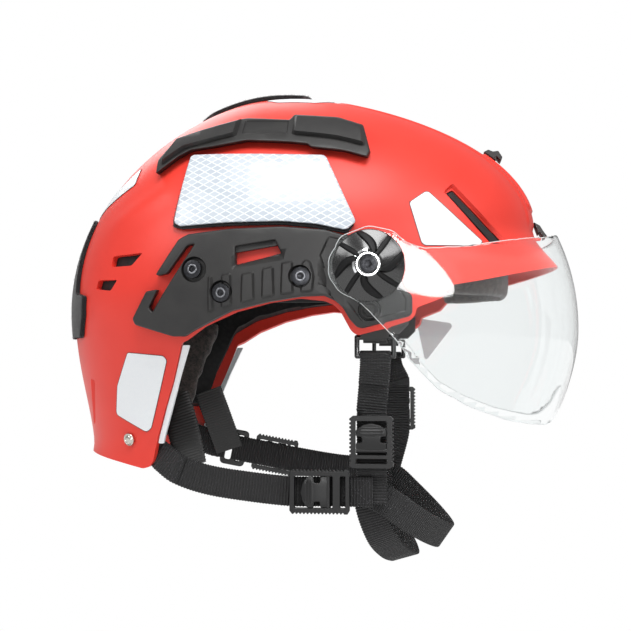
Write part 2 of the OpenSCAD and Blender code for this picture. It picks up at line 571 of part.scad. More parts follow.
tab_outline = [[43, -8], [72, -8], [72, -19], [66, -25], [58, -27.6], [45, -27.6], [43, -26]];
// Width of the tab's loop over the ring's upper bar
tab_loop = 14;
module strap_tab_right() color("#1d1d1f") difference() {
  union() {
    side_piece(inner_face - tab_t, inner_face, [280, 312], [0, -36]) polygon(tab_outline);
    translate([ring_at.x - tab_loop / 2, ring_at.y, ring_at.z + ring_bar.y]) {
      rotate([0, 90, 0]) cylinder(h = tab_loop, r = ring_room + web_t);
      translate([0, 0.2 - ring_room - web_t, 0]) cube([tab_loop, web_t + 0.6, 12]);
    }
  }
  translate([38, ring_at.y, ring_at.z + ring_bar.y]) rotate([0, 90, 0]) cylinder(h = 29, r = ring_room);
  for (s = [-1, 1]) translate([ring_at.x + s * (ring_bar.x + 0.7) - 3.2, ring_at.y - 10, ring_at.z - 2])
    cube([6.4, 14, ring_bar.y + 4]);
}
module strap_tab_left() left() strap_tab_right();
module strap_ring_right() color("#2a2b2d") translate(ring_at) for (s = [-1, 1]) {
  translate([-ring_bar.x, 0, ring_bar.y * s]) rotate([0, 90, 0])
    cylinder(h = 2 * ring_bar.x, r = ring_wire / 2);
  translate([ring_bar.x * s, 0, 0]) cylinder(h = 2 * ring_bar.y, r = ring_wire / 2, center = true);
  for (c = [-1, 1]) translate([ring_bar.x * s, 0, ring_bar.y * c]) sphere(r = ring_wire / 2);
}
module strap_ring_left() left() strap_ring_right();

// Straps, right-hand side; the left ones are set a little differently, as worn
strap_y = half_width - 35.4;
join_y = half_width - 37.8;
layer_step = web_t + 0.4;
front_buckle_at = [49.5, -88.5];
front_buckle_left_at = [59, -75];
// Each front strap starts with a sewn tail, goes over the ring's lower bar and runs down to the joint
module front_strap(buckle) {
  bar = ring_at - [0, 0, ring_bar.y];
  turn = ring_room + web_t / 2;
  function main_y(z) =
    -strap_y + (strap_y + ring_at.y + turn) * (z - buckle.y - 18) / (bar.z - buckle.y - 18);
  function main_x(z) = bar.x + (buckle.x - bar.x) * (bar.z - 5 - z) / (bar.z - 5 - buckle.y - 20);
  tail = [for (q = [[-54, 2.3], [-48, 2.9], [-42, 5.2]])
    [[main_x(q[0]), main_y(q[0]) - q[1], q[0]], forward]];
  loop = [for (a = [180:-45:0]) [bar + turn * [0, cos(a), sin(a)], forward]];
  webbing(concat(tail, loop, [
    [[main_x(-46), main_y(-46), -46], forward]],
    [for (d = [20, 16, 0, -16]) [[buckle.x, -strap_y, buckle.y + d], forward]],
    [[[(buckle.x + 49.5) / 2, -join_y, -110], forward], [[49.5, -join_y, -126], forward]]));
}
module front_strap_right() color("#17171a") front_strap(front_buckle_at);
module front_strap_left() color("#17171a") left() front_strap(front_buckle_left_at);
rear_y = join_y + layer_step;
rear_buckle_at = [18.5, -rear_y, -118.5];
rear_buckle_left_at = [-30, -join_y - 0.3, -109.5];
rear_left_tilt = 11;
rear_left_yaw = 6;
anchor_deep = 6;
// The rear straps start under the nape rivets, on the shell's inside
anchor_run = [0.85, -0.33, -0.42];
anchor = [for (q = [[-107, -86], rivet_at, [-95, -92.5], [-88.5, -96]])
  [skin_place(q.x, q.y, -anchor_deep),
    cross(skin_normal(skin_angle(q.x, q.y), q.y, front_table), anchor_run)]];
module riveted() difference() {
  children();
  skin_pin(rivet_at, rivet_r / 2 + gap, -20, 10);
}
module rear_strap_right() color("#17171a") riveted() webbing(concat(anchor, [
  [[-78, 8.6 - join_y, -101.5], [0.5, 0.1, 0.86]], [[-68, 4.2 - join_y, -107.5], [0.4, 0, 0.9]],
  [[-50, 1.2 - join_y, -112.7], [0.15, 0, 1]], [[-26, -join_y - 1.3, -116], [0.08, 0, 1]]],
  [for (x = [0, 19, 38, 50]) [[x, -rear_y, -118.5], upward]]));
// Direction of the left rear strap through its buckle, and of its width
function yawed(v) = [v.x * cos(rear_left_yaw), -v.x * sin(rear_left_yaw), v.y];
rear_left_run = yawed([cos(rear_left_tilt), -sin(rear_left_tilt)]);
rear_left_across = yawed([sin(rear_left_tilt), cos(rear_left_tilt)]);
module rear_strap_left() color("#17171a") left() riveted() webbing(concat(anchor,
  [for (d = [-45, -41, -30, -16, 0, 16]) [rear_buckle_left_at + d * rear_left_run, rear_left_across]],
  [[[20, -rear_y, -117.8], [0.05, 0, 1]], [[50, -rear_y, -118.5], upward]]));
chin_half = [
  [[46, -join_y + layer_step + 0.3, -118.5], [0.1, 0, 1]],
  [[58, 4.4 - join_y, -124.5], [0.45, 0, 0.89]],
  [[69, -0.81 * join_y, -133.5], [0.58, 0.1, 0.8]],
  [[81, -0.58 * join_y, -143.5], [0.6, 0.1, 0.8]],
  [[90, -0.283 * join_y, -151], [0.58, 0, 0.82]]];
under_half = [
  [[46, -join_y + 2 * layer_step + 0.8, -119], [0.99, 0, 0.1]],
  [[49.5, -0.86 * join_y, -135], [0.97, 0, 0.22]],
  [[55, -0.728 * join_y, -150], [0.97, 0.05, 0.24]],
  [[61.5, -0.485 * join_y, -160.5], [0.97, 0.03, 0.26]],
  [[66, -0.216 * join_y, -166], [0.96, 0, 0.28]]];
function mirrored(r) = [for (k = [len(r) - 1:-1:0]) [
  [r[k][0].x, -r[k][0].y, r[k][0].z], [r[k][1].x, -r[k][1].y, r[k][1].z]]];
module chin_strap() color("#17171a")
  webbing(concat(chin_half, [[[93.5, 0, -154], [0.57, 0, 0.82]]], mirrored(chin_half)));
module under_chin_strap() color("#17171a")
  webbing(concat(under_half, [[[67.5, 0, -168], [0.96, 0, 0.28]]], mirrored(under_half)));

// Buckles: a frame that lies on the strap's outer face, and a lever that clamps the webbing in it
cheek = 3.6;
window_w = web_w + 1;
frame_w = window_w + 2 * cheek;
lever_w = window_w - 2 * gap;
lever_pin_z = -5;
cam_r = 1.8;
module buckle_frame(long) translate([0, -web_t / 2 - gap, 0]) difference() {
  translate([-frame_w / 2, -buckle_t, -long / 2]) cube([frame_w, buckle_t, long]);
  translate([-window_w / 2, -buckle_t - 1, lever_pin_z - cam_r - 1])
    cube([window_w, buckle_t + 2, long / 2 - 2 - lever_pin_z + cam_r]);
  translate([-window_w / 2, -buckle_t - 1, -long / 2 + 2.6]) cube([window_w, buckle_t + 2, 3]);
  for (s = [-1, 1]) translate([s * (window_w / 2 - 0.5), -buckle_t / 2, lever_pin_z]) rotate([0, s * 90, 0])
    cylinder(h = cheek - 1 + 0.5, r = lever_pin_r + 0.15);
}
module buckle_lever() translate([0, -web_t / 2 - gap - buckle_t / 2, lever_pin_z]) {
  rotate([0, 90, 0]) cylinder(h = lever_w, r = cam_r, center = true);
  rotate([0, 90, 0]) cylinder(h = lever_w + 2 * (cheek - 1.6), r = lever_pin_r, center = true);
  translate([0, 0.7, 0]) rotate([90, 0, 0]) linear_extrude(buckle_t / 2 + 1.4) polygon([
    [-lever_w / 2, 0], [lever_w / 2, 0], [lever_w / 2, 4], [lever_w / 2 - 2.5, 5.5], [lever_w / 2 - 2.5, 8],
    [lever_w / 2, 9.5], [lever_w / 2, 13], [lever_w / 2 - 4, 15.5], [0, 16.3],
    [-lever_w / 2 + 4, 15.5], [-lever_w / 2, 13], [-lever_w / 2, 9.5], [-lever_w / 2 + 2.5, 8],
    [-lever_w / 2 + 2.5, 5.5], [-lever_w / 2, 4]]);
}
front_long = 31;
rear_long = 36;
module at_front(at) translate([at.x, -strap_y, at.y]) children();
module at_rear() translate(rear_buckle_at) rotate([0, -90, 0]) children();
module at_rear_left() left() translate(rear_buckle_left_at) rotate([0, 0, -rear_left_yaw])
  rotate([0, -90 + rear_left_tilt, 0]) children();
module front_buckle_right() color("#1e1f21") at_front(front_buckle_at) buckle_frame(front_long);
module front_buckle_left() color("#1e1f21") left() at_front(front_buckle_left_at) buckle_frame(front_long);
module front_lever_right() color("#26272a") at_front(front_buckle_at) buckle_lever();
module front_lever_left() color("#26272a") left() at_front(front_buckle_left_at) buckle_lever();
module rear_buckle_right() color("#1e1f21") at_rear() buckle_frame(rear_long);
module rear_buckle_left() color("#1e1f21") at_rear_left() buckle_frame(front_long);
module rear_lever_right() color("#26272a") at_rear() buckle_lever();
module rear_lever_left() color("#26272a") at_rear_left() buckle_lever();
module triglide_left() color("#1e1f21") at_rear_left() translate([0, -web_t / 2 - gap, 30]) difference() {
  translate([-frame_w / 2, -3, -9]) cube([frame_w, 3, 18]);
  for (z = [-6, 1.5]) translate([-window_w / 2, -4, z]) cube([window_w, 5, 4.5]);
}

shell();
vent_meshes();
liner();
brow_pad();
crown_pad();
side_pad_right();
side_pad_left();
nape_pad_right();
nape_pad_left();
headband();
size_dial_housing();
size_dial();
side_rail_right();
side_rail_left();
rail_screws_right();
rail_screws_left();
top_rail_right();
top_rail_left();
side_velcro_right();
side_velcro_left();
side_reflector_right();
side_reflector_left();
crown_velcro();
rear_velcro();
crown_sticker();
rear_top_stickers();
front_side_stickers();
rear_side_stickers();
nape_edge_strips();
nape_rivets();
front_hook_upper();
front_hook_lower();
visor();
visor_film();
knob_right();
knob_left();
pivot_screw_right();
pivot_screw_left();
strap_tab_right();
strap_tab_left();
strap_ring_right();
strap_ring_left();
front_strap_right();
front_strap_left();
front_buckle_right();
front_buckle_left();
front_lever_right();
front_lever_left();
rear_strap_right();
rear_strap_left();
rear_buckle_right();
rear_buckle_left();
rear_lever_right();
rear_lever_left();
triglide_left();
chin_strap();
under_chin_strap();
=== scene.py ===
import math

import bmesh
import bpy
import numpy as np
from mathutils import Matrix, Vector


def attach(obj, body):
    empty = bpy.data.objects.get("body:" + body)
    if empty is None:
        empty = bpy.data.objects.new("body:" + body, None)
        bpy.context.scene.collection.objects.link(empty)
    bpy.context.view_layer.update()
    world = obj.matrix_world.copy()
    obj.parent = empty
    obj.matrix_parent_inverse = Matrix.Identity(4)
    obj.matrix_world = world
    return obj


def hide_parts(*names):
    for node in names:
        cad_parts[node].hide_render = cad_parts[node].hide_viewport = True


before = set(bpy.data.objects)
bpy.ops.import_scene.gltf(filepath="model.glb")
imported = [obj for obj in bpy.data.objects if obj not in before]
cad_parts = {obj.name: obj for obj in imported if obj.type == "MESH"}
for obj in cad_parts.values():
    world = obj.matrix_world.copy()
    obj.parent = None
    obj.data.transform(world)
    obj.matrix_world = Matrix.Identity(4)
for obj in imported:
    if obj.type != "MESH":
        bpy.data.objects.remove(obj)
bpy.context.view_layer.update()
scene = bpy.context.scene
scene.view_settings.view_transform = "Standard"

# Studio
# The helmet hangs in front of a white paper sweep, as in a catalogue picture. The sweep is seen as
# pure white, and its floor, well below the straps, still takes the shadow.


def colour(text):
    """sRGB hex, such as "d8463f", as the linear colour that the nodes need."""
    parts = [int(text[k : k + 2], 16) / 255 for k in (0, 2, 4)]
    return (*[c / 12.92 if c <= 0.04045 else ((c + 0.055) / 1.055) ** 2.4 for c in parts], 1.0)


def add(tree, kind, settings, inputs):
    """One node with its settings, its plain values and its links. A colour ramp is set by its stops."""
    made = tree.nodes.new("ShaderNode" + kind)
    for name, value in settings.items():
        if name == "stops":
            for stop, (position, shade) in zip(made.color_ramp.elements, value):
                stop.position, stop.color = position, colour(shade)
        else:
            setattr(made, name, value)
    for name, value in inputs.items():
        if isinstance(value, bpy.types.NodeSocket):
            tree.links.new(value, made.inputs[name])
        else:
            made.inputs[name].default_value = value
    return made


def new_material(name):
    made = bpy.data.materials.new(name)
    made.use_nodes = True
    made.node_tree.nodes.clear()
    return made, made.node_tree


photo_px, focal_px = 631, 1200
camera_data = bpy.data.cameras.new("camera")
camera_data.sensor_width = 36
camera_data.lens = focal_px * camera_data.sensor_width / photo_px
camera = bpy.data.objects.new("camera", camera_data)
scene.collection.objects.link(camera)
scene.camera = camera
camera_turn, camera_tilt, camera_far = math.radians(6), math.radians(-2), 0.8
aim = Vector((0.0077, 0, -0.01033))
back = Vector((math.sin(camera_turn) * math.cos(camera_tilt), -math.cos(camera_turn) * math.cos(camera_tilt),
               math.sin(camera_tilt)))
camera_facing = (-back).to_track_quat("-Z", "Y").to_matrix().to_4x4()
camera.matrix_world = Matrix.Translation(aim + camera_far * back) @ camera_facing

# Matt white paper: pure white behind the helmet, with a soft shadow under it
paper, tree = new_material("white_paper_sweep")
path = add(tree, "LightPath", {}, {})
where = add(tree, "TexCoord", {}, {})
away = add(tree, "VectorMath", {"operation": "LENGTH"}, {0: where.outputs["Object"]})
fade = add(tree, "MapRange", {"interpolation_type": "SMOOTHSTEP"}, {
    "Value": away.outputs["Value"], "From Min": 0.35, "From Max": 0.95, "To Min": 0.72, "To Max": 1.0})
sheet = add(tree, "BsdfDiffuse", {}, {"Color": colour("f8f8f8")})
glow = add(tree, "Emission", {}, {"Color": colour("ffffff"), "Strength": 1.0})
straight = add(tree, "Math", {"operation": "MAXIMUM"},
               {0: path.outputs["Is Camera Ray"], 1: path.outputs["Is Glossy Ray"]})
seen = add(tree, "Math", {"operation": "MAXIMUM"},
           {0: straight.outputs[0], 1: path.outputs["Is Transmission Ray"]})
share = add(tree, "Math", {"operation": "MULTIPLY"}, {0: seen.outputs[0], 1: fade.outputs["Result"]})
mixed = add(tree, "MixShader", {}, {0: share.outputs[0], 1: sheet.outputs[0], 2: glow.outputs[0]})
add(tree, "OutputMaterial", {}, {"Surface": mixed.outputs[0]})
floor_z, floor_half = -0.42, 6
bm = bmesh.new()
bmesh.ops.create_grid(bm, x_segments=1, y_segments=1, size=floor_half)
floor_mesh = bpy.data.meshes.new("floor")
bm.to_mesh(floor_mesh)
floor = bpy.data.objects.new("floor", floor_mesh)
floor.location.z = floor_z
floor_mesh.materials.append(paper)
scene.collection.objects.link(floor)

world = bpy.data.worlds.new("studio")
scene.world = world
world.use_nodes = True
tree = world.node_tree
tree.nodes.clear()
path = add(tree, "LightPath", {}, {})
straight = add(tree, "Math", {"operation": "MAXIMUM"},
               {0: path.outputs["Is Camera Ray"], 1: path.outputs["Is Transmission Ray"]})
fill = add(tree, "Background", {}, {"Color": colour("ffffff"), "Strength": 0.36})
white = add(tree, "Background", {}, {"Color": colour("ffffff"), "Strength": 1.0})
mixed = add(tree, "MixShader", {}, {0: straight.outputs[0], 1: fill.outputs[0], 2: white.outputs[0]})
add(tree, "OutputWorld", {}, {"Surface": mixed.outputs[0]})


def lamp(name, place, target, size, power, shape="RECTANGLE"):
    """A softbox that looks at a point."""
    data = bpy.data.lights.new(name, "AREA")
    data.shape = shape
    data.size, data.size_y = size
    data.energy = power
    made = bpy.data.objects.new(name, data)
    turn = (Vector(target) - Vector(place)).to_track_quat("-Z", "Y").to_matrix().to_4x4()
    made.matrix_world = Matrix.Translation(place) @ turn
    scene.collection.objects.link(made)
    return made


lamp("softbox_top", (0.1, -0.75, 1.05), (0, 0, 0), (0.75, 0.55), 11.5)
lamp("softbox_front", (1.0, -0.75, 0.8), (0, 0, 0), (0.5, 0.5), 5)
lamp("softbox_left", (-0.95, -0.85, 0.75), (0, 0, 0), (0.5, 0.5), 4.2)
lamp("softbox_rear", (-0.5, 0.95, 0.9), (0, 0, 0), (0.8, 0.8), 6)
# A long lamp beside the camera, which only shows as the white glare on the visor and in gloss
glare = lamp("softbox_beside_camera", (0.43, -1.7, 0.15), (0.43, 0, 0.15), (1.08, 0.125), 8.5, "ELLIPSE")
for kind in ("camera", "diffuse", "transmission"):
    setattr(glare, f"visible_{kind}", False)

# Shell
# The outer shell: injection-moulded ABS, 3.5 mm thick, painted coral red with a satin clear coat.
# One moulding with a raised band over the crown, a raised brow panel, three pairs of vents and a
# hollow down each side of the nape. Everything below is drawn in millimetres until it is a piece.
crown_x, crown_z, roundness = -13.0, 133.0, 2.25
shell_wall = 3.5
rear_line = [(13, 133), (49.5, 133), (150.5, 86), (150.5, -12), (150.5, -45), (141.5, -70), (139.5, -92),
             (139, -96), (141.5, -100), (141.5, -122)]
front_line = [(-13, 133), (30.5, 133), (152.5, 102.5), (150.5, 42), (151.5, 38), (156.5, 31), (166.5, 21),
              (168.5, 18), (168.5, 10), (168.5, -122)]
inner_front_line = front_line[:4] + [(151.5, 30), (151.5, 10), (151.5, -122)]
side_line = [(0, 133), (60, 133), (112, 80), (112, 5), (112, -26), (83, -55), (76, -122)]


def profile(line):
    """Heights and reaches along chained cubic curves, lowest first."""
    places = []
    for k in range(0, len(line) - 3, 3):
        a, b, c, d = (np.array(q, float) for q in line[k : k + 4])
        s = np.linspace(0, 1, 60)[:, None]
        places.append((1 - s) ** 3 * a + 3 * s * (1 - s) ** 2 * b + 3 * s * s * (1 - s) * c + s**3 * d)
    places = np.concatenate(places)[::-1]
    return places[:, 1], places[:, 0]


rear_profile, side_profile = profile(rear_line), profile(side_line)
outer_front, inner_front = profile(front_line), profile(inner_front_line)


def reaches(z, front=outer_front):
    """Reach to the front, the rear and the side at each height."""
    ahead = np.maximum(np.interp(z, *front) - crown_x, 0.01)
    behind = np.maximum(np.interp(z, *rear_profile) + crown_x, 0.01)
    return ahead, behind, np.maximum(np.interp(z, *side_profile), 0.01)


def fullness(p, front=outer_front):
    """1 on the skin, more outside it."""
    ahead, behind, side = reaches(p[:, 2], front)
    x = p[:, 0] - crown_x
    return (np.abs(x) / np.where(x > 0, ahead, behind)) ** roundness + (np.abs(p[:, 1]) / side) ** roundness


def outward(p, front=outer_front):
    """Direction square to the skin."""
    step = 0.6
    rise = np.stack([fullness(p + d, front) - fullness(p - d, front) for d in np.eye(3) * step], 1)
    return rise / np.maximum(np.linalg.norm(rise, axis=1), 1e-9)[:, None]


def land(facing, u, v):
    """Places on the skin: (x, z) from the side, (y, z) from the rear or front, (x, y) from above."""
    if facing == "top":
        low, high = np.full(len(u), 0.0), np.full(len(u), crown_z)
        for _ in range(30):
            middle = (low + high) / 2
            full = fullness(np.stack([u, v, middle], 1)) > 1
            low, high = np.where(full, low, middle), np.where(full, middle, high)
        return np.stack([u, v, low], 1)
    ahead, behind, side = reaches(v)
    if facing == "side":
        share = np.abs(u - crown_x) / np.where(u > crown_x, ahead, behind)
        return np.stack([u, -side * np.maximum(1 - share**roundness, 0) ** (1 / roundness), v], 1)
    span = np.maximum(1 - (np.abs(u) / side) ** roundness, 0) ** (1 / roundness)
    return np.stack([crown_x + ahead * span if facing == "front" else crown_x - behind * span, u, v], 1)


def place(facing, u, h, v):
    """Places at height h over the skin that still lie at (u, v) in the view they are drawn in."""
    first, second = {"side": (0, 2), "top": (0, 1)}.get(facing, (1, 2))
    du, dv = np.zeros(len(u)), np.zeros(len(u))
    for _ in range(3):
        base = land(facing, u - du, v - dv)
        n = outward(base)
        du, dv = h * n[:, first], h * n[:, second]
    return base + h[:, None] * n


def coordinates(bm):
    return np.array([v.co for v in bm.verts], float).reshape(-1, 3)


def move_to(bm, places):
    for v, p in zip(bm.verts, places):
        v.co = p


def inside(outline, points):
    """Which points lie in a closed outline."""
    x, y = points[:, 0], points[:, 1]
    found = np.zeros(len(points), bool)
    for (x0, y0), (x1, y1) in zip(outline, outline[1:] + outline[:1]):
        crosses = (y0 > y) != (y1 > y)
        with np.errstate(divide="ignore", invalid="ignore"):
            found ^= crosses & (x < (x1 - x0) * (y - y0) / (y1 - y0) + x0)
    return found


def score(bm, outline, axes=(0, 2), where=None):
    """Cuts faces along an outline seen along the third axis, near each of its lines."""
    reach, margin = 3.0, 12

    def boxes(faces):
        found = [[[v.co[a] for a in axes] for v in f.verts] for f in faces]
        return np.array([[np.min(q, axis=0), np.max(q, axis=0)] for q in found]).reshape(-1, 2, 2)

    lines = [(np.array(a, float), np.array(b, float)) for a, b in zip(outline, outline[1:] + outline[:1])]
    low, high = np.min(outline, axis=0) - reach, np.max(outline, axis=0) + reach
    faces = [f for f in bm.faces if where is None or where(f.calc_center_median())]
    middles = np.array([f.calc_center_median() for f in faces]).reshape(-1, 3)[:, list(axes)]
    near = ((middles > low - margin) & (middles < high + margin)).all(1)
    faces = [f for f, n in zip(faces, near) if n]
    spans = boxes(faces)
    for a, b in lines:
        low, high = np.minimum(a, b) - reach, np.maximum(a, b) + reach
        met = ((spans[:, 1] > low) & (spans[:, 0] < high)).all(1)
        hit = [f for f, m in zip(faces, met) if m]
        if not hit:
            continue
        point, square = [0.0] * 3, [0.0] * 3
        point[axes[0]], point[axes[1]] = a
        square[axes[0]], square[axes[1]] = b[1] - a[1], a[0] - b[0]
        geom = list({e for f in hit for e in [*f.verts, *f.edges, f]})
        made = bmesh.ops.bisect_plane(bm, geom=geom, dist=1e-4, plane_co=point, plane_no=square)["geom"]
        fresh = list({f for f in hit if f.is_valid} | {f for f in made if isinstance(f, bmesh.types.BMFace)})
        faces = [f for f, m in zip(faces, met) if not m] + fresh
        spans = np.concatenate([spans[~met], boxes(fresh)])


def faces_within(bm, outline, axes=(0, 2), where=None):
    faces = list(bm.faces)
    middles = np.array([f.calc_center_median() for f in faces]).reshape(-1, 3)
    hit = inside(outline, middles[:, list(axes)])
    return [f for f, h, m in zip(faces, hit, middles) if h and (where is None or where(Vector(m)))]


def carve(bm, outline, keep="outside", axes=(0, 2), where=None):
    """Cuts an outline out of a sheet, or trims the sheet to it."""
    score(bm, outline, axes, where=where)
    within = set(faces_within(bm, outline, axes, where))
    away = [f for f in bm.faces
            if (f in within) == (keep == "outside") and (where is None or f in within or keep == "inside")]
    bmesh.ops.delete(bm, geom=away, context="FACES")


def rounded(outline, radius, segments=4):
    """The outline with its corners rounded, by a bevel of its corner points."""
    bm = bmesh.new()
    bm.faces.new([bm.verts.new((x, 0, z)) for x, z in outline])
    bmesh.ops.bevel(bm, geom=list(bm.verts), offset=radius, offset_type="OFFSET", affect="VERTICES",
                    segments=segments, profile=0.5, material=-1, clamp_overlap=True)
    face = max(bm.faces, key=lambda f: f.calc_area())
    found = [(loop.vert.co.x, loop.vert.co.z) for loop in face.loops]
    bm.free()
    return found


def piece(name, bm, finish, body="helmet", replaces=(), smooth=35):
    """A finished piece: its mesh in metres, its materials, its body and the nodes it stands for."""
    bmesh.ops.scale(bm, vec=(0.001, 0.001, 0.001), verts=bm.verts)
    mesh = bpy.data.meshes.new(name)
    bm.to_mesh(mesh)
    bm.free()
    for m in finish if isinstance(finish, list) else [finish]:
        mesh.materials.append(m)
    mesh.shade_smooth()
    mesh.set_sharp_from_angle(angle=math.radians(smooth))
    made = bpy.data.objects.new(name, mesh)
    scene.collection.objects.link(made)
    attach(made, body)
    if replaces:
        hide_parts(*replaces)
    return made


def modifier(made, kind, **settings):
    m = made.modifiers.new(kind.lower(), kind)
    for key, value in settings.items():
        setattr(m, key, value)
    return m


def break_edges(made, width, angle, segments=2, **more):
    """A bevel, as wide as the millimetres given, on edges that are sharper than an angle in degrees."""
    modifier(made, "BEVEL", width=width / 1000, segments=segments, limit_method="ANGLE",
             angle_limit=math.radians(angle), **more)


def dome(front=outer_front, columns=192, rows=72, low=-121.0):
    """The skin as one sheet from the crown down: a ball whose rings are moved to the skin's heights."""
    bm = bmesh.new()
    bmesh.ops.create_uvsphere(bm, u_segments=columns, v_segments=rows + 1, radius=1)
    bottom = min(bm.verts, key=lambda v: v.co.z)
    bmesh.ops.delete(bm, geom=[bottom], context="VERTS")
    p = coordinates(bm)
    ring = np.round(np.arccos(np.clip(p[:, 2], -1, 1)) / math.pi * (rows + 1))
    turn = np.arctan2(p[:, 1], p[:, 0])
    z = crown_z - (crown_z - low) * (ring / rows) ** 1.5
    ahead, behind, side = reaches(z, front)
    c, s = np.cos(turn), np.sin(turn)
    power = 2 / roundness
    x = crown_x + np.where(c > 0, ahead, behind) * np.sign(c) * np.abs(c) ** power
    y = side * np.sign(s) * np.abs(s) ** power
    crown = ring == 0
    move_to(bm, np.stack([np.where(crown, crown_x, x), np.where(crown, 0, y), z], 1))
    return bm


ear_edge = [(-61.5, -30), (-57, -28), (-45, -20), (-26, -12), (-6.5, -7), (10.5, -4.5), (25, -6), (30, -8.5),
            (33.5, -12), (39, -22.5), (41, -24.5), (43, -25.5), (59, -21.5), (73, -17), (76, -14),
            (77, -9.5), (84.5, -6.5), (91, -4), (98, 4), (114, 7), (132, 11), (151, 15.5), (180, 23)]
nape_edge = [(-69, -53), (-75, -68), (-81.5, -86), (-86, -103)]
nape_bottom = [(-89, -106), (-93, -107), (-109, -104), (-136, -99.5), (-200, -99.5)]
below = [(-200, -200), (250, -200)]
opening = rounded(ear_edge[::-1] + nape_edge + nape_bottom + below, 2.2, 3)
vent_upper = rounded([(-107, 23), (-85.5, 24), (-93, 16.5), (-108, 16.5)], 1.2, 2)
vent_lower = rounded([(-118, 9), (-103, 8.5), (-108, 2), (-120, 3.5)], 1.0, 2)
front_vent = rounded([(94, 59.5), (98, 62), (128, 30.5), (121, 29.5)], 1.0, 2)
front_vent_recess = rounded([(92.5, 60), (98, 66), (132, 30), (120.5, 28)], 1.5, 2)
nape_groove = rounded([(-130.5, -51), (-126.5, -53), (-131, -80), (-133.5, -82)], 1.2, 2)

bm = dome()
carve(bm, opening)


def shrunk(outline, by):
    """The outline drawn in by a distance, or out by a negative one, with mitred corners."""
    p = np.array(outline, float)
    turn = np.sign(np.sum(p[:, 0] * np.roll(p[:, 1], -1) - p[:, 1] * np.roll(p[:, 0], -1)))
    run = np.roll(p, -1, 0) - p
    run /= np.maximum(np.linalg.norm(run, axis=1), 1e-9)[:, None]
    inward = np.stack([-run[:, 1], run[:, 0]], 1) * turn
    before = np.roll(inward, 1, 0)
    mitre = inward + before
    mitre /= np.maximum(np.sum(mitre * inward, 1), 0.35)[:, None]
    return [tuple(q) for q in p + by * mitre]


def distance(outline, points):
    """How far points lie from an outline's lines."""
    nearest = np.full(len(points), 1e9)
    for a, b in zip(outline, outline[1:] + outline[:1]):
        a, run = np.array(a, float), np.array(b, float) - np.array(a, float)
        share = np.clip((points - a) @ run / max(run @ run, 1e-9), 0, 1)
        nearest = np.minimum(nearest, np.linalg.norm(points - a - share[:, None] * run, axis=1))
    return nearest


def press(bm, outline, depth, wall, axes=(0, 2), where=None):
    """Sinks, or with a negative depth raises, the skin in an outline, with a sloped wall round it."""
    score(bm, outline, axes, where=where)
    score(bm, shrunk(outline, wall), axes, where=where)
    p = coordinates(bm)
    flat = p[:, list(axes)]
    share = inside(outline, flat) * np.clip(distance(outline, flat) / wall, 0, 1)
    if where is not None:
        share = share * np.array([where(v.co) for v in bm.verts])
    move_to(bm, p - (depth * share)[:, None] * outward(p))


press(bm, front_vent_recess, depth=2.3, wall=0.9)
press(bm, nape_groove, depth=1.8, wall=1.4)
band = [(24, -21), (30, -27), (60, -31), (140, -33), (175, -33), (175, 33), (140, 33), (60, 31),
        (30, 27), (24, 21)]
press(bm, rounded(band, 3), depth=-0.9, wall=2.4, axes=(0, 1), where=lambda c: c.z > 44)
panel = [(-23, 55), (23, 55), (26, 58), (22, 91), (19, 93), (-19, 93), (-22, 91), (-26, 58)]
press(bm, panel, depth=-1.1, wall=1.2, axes=(1, 2), where=lambda c: c.x > 60)
for outline in (vent_upper, vent_lower, front_vent):
    carve(bm, outline)

# A soft ridge on each side, from the rear corner of the reflective panel down towards the upper vent
ridge_half, ridge_rise = 9, 1.3
p = coordinates(bm)
n = outward(p)
start, end = np.array([-66.0, 66.0]), np.array([-116.0, 36.0])
run = (end - start) / np.linalg.norm(end - start)
rel = p[:, [0, 2]] - start
along = rel @ run / np.linalg.norm(end - start)
across = rel @ np.array([-run[1], run[0]])
soft = np.clip(1 - np.abs(across) / ridge_half, 0, 1)
rise = ridge_rise * soft * soft * (3 - 2 * soft)
rise = rise * np.clip(along / 0.15, 0, 1) * np.clip((1.05 - along) / 0.3, 0, 1)
move_to(bm, p + (np.where(p[:, 0] < -40, rise, 0))[:, None] * n)
bmesh.ops.remove_doubles(bm, verts=bm.verts, dist=0.12)
bmesh.ops.dissolve_degenerate(bm, edges=bm.edges, dist=0.08)
bmesh.ops.recalc_face_normals(bm, faces=bm.faces)

# Painted ABS: even coral red, faintly clouded, with a slight orange peel under a satin clear coat
painted, tree = new_material("painted_abs_coral_red")
where = add(tree, "TexCoord", {}, {})
cloudy = add(tree, "TexNoise", {}, {"Vector": where.outputs["Object"], "Scale": 1000 / 45, "Detail": 2.0})
tint = add(tree, "ValToRGB", {"stops": [(0.3, "ea3a2d"), (0.7, "ef4033")]}, {"Fac": cloudy.outputs["Fac"]})
peel = add(tree, "TexNoise", {}, {"Vector": where.outputs["Object"], "Scale": 1000 / 1.6, "Detail": 3.0})
skin_bump = add(tree, "Bump", {}, {"Height": peel.outputs["Fac"], "Strength": 0.06, "Distance": 0.0004})
body = add(tree, "BsdfPrincipled", {}, {"Base Color": tint.outputs["Color"], "Roughness": 0.42, "IOR": 1.42,
                                        "Coat Weight": 0.12, "Coat Roughness": 0.3,
                                        "Normal": skin_bump.outputs["Normal"]})
add(tree, "OutputMaterial", {}, {"Surface": body.outputs[0]})

shell = piece("shell_moulding", bm, painted, replaces=["shell"], smooth=30)
modifier(shell, "SOLIDIFY", thickness=shell_wall / 1000, offset=-1, use_even_offset=False)
break_edges(shell, 0.7, 75)
modifier(shell, "WEIGHTED_NORMAL", keep_sharp=True)

# Vent screens
# Black woven nylon screens glued behind the two front vents. The node's own thin panels stay, and get
# the look of a mesh, drawn twice as coarse as the real 0.6 mm so that it shows.
mesh_pitch = 1.2
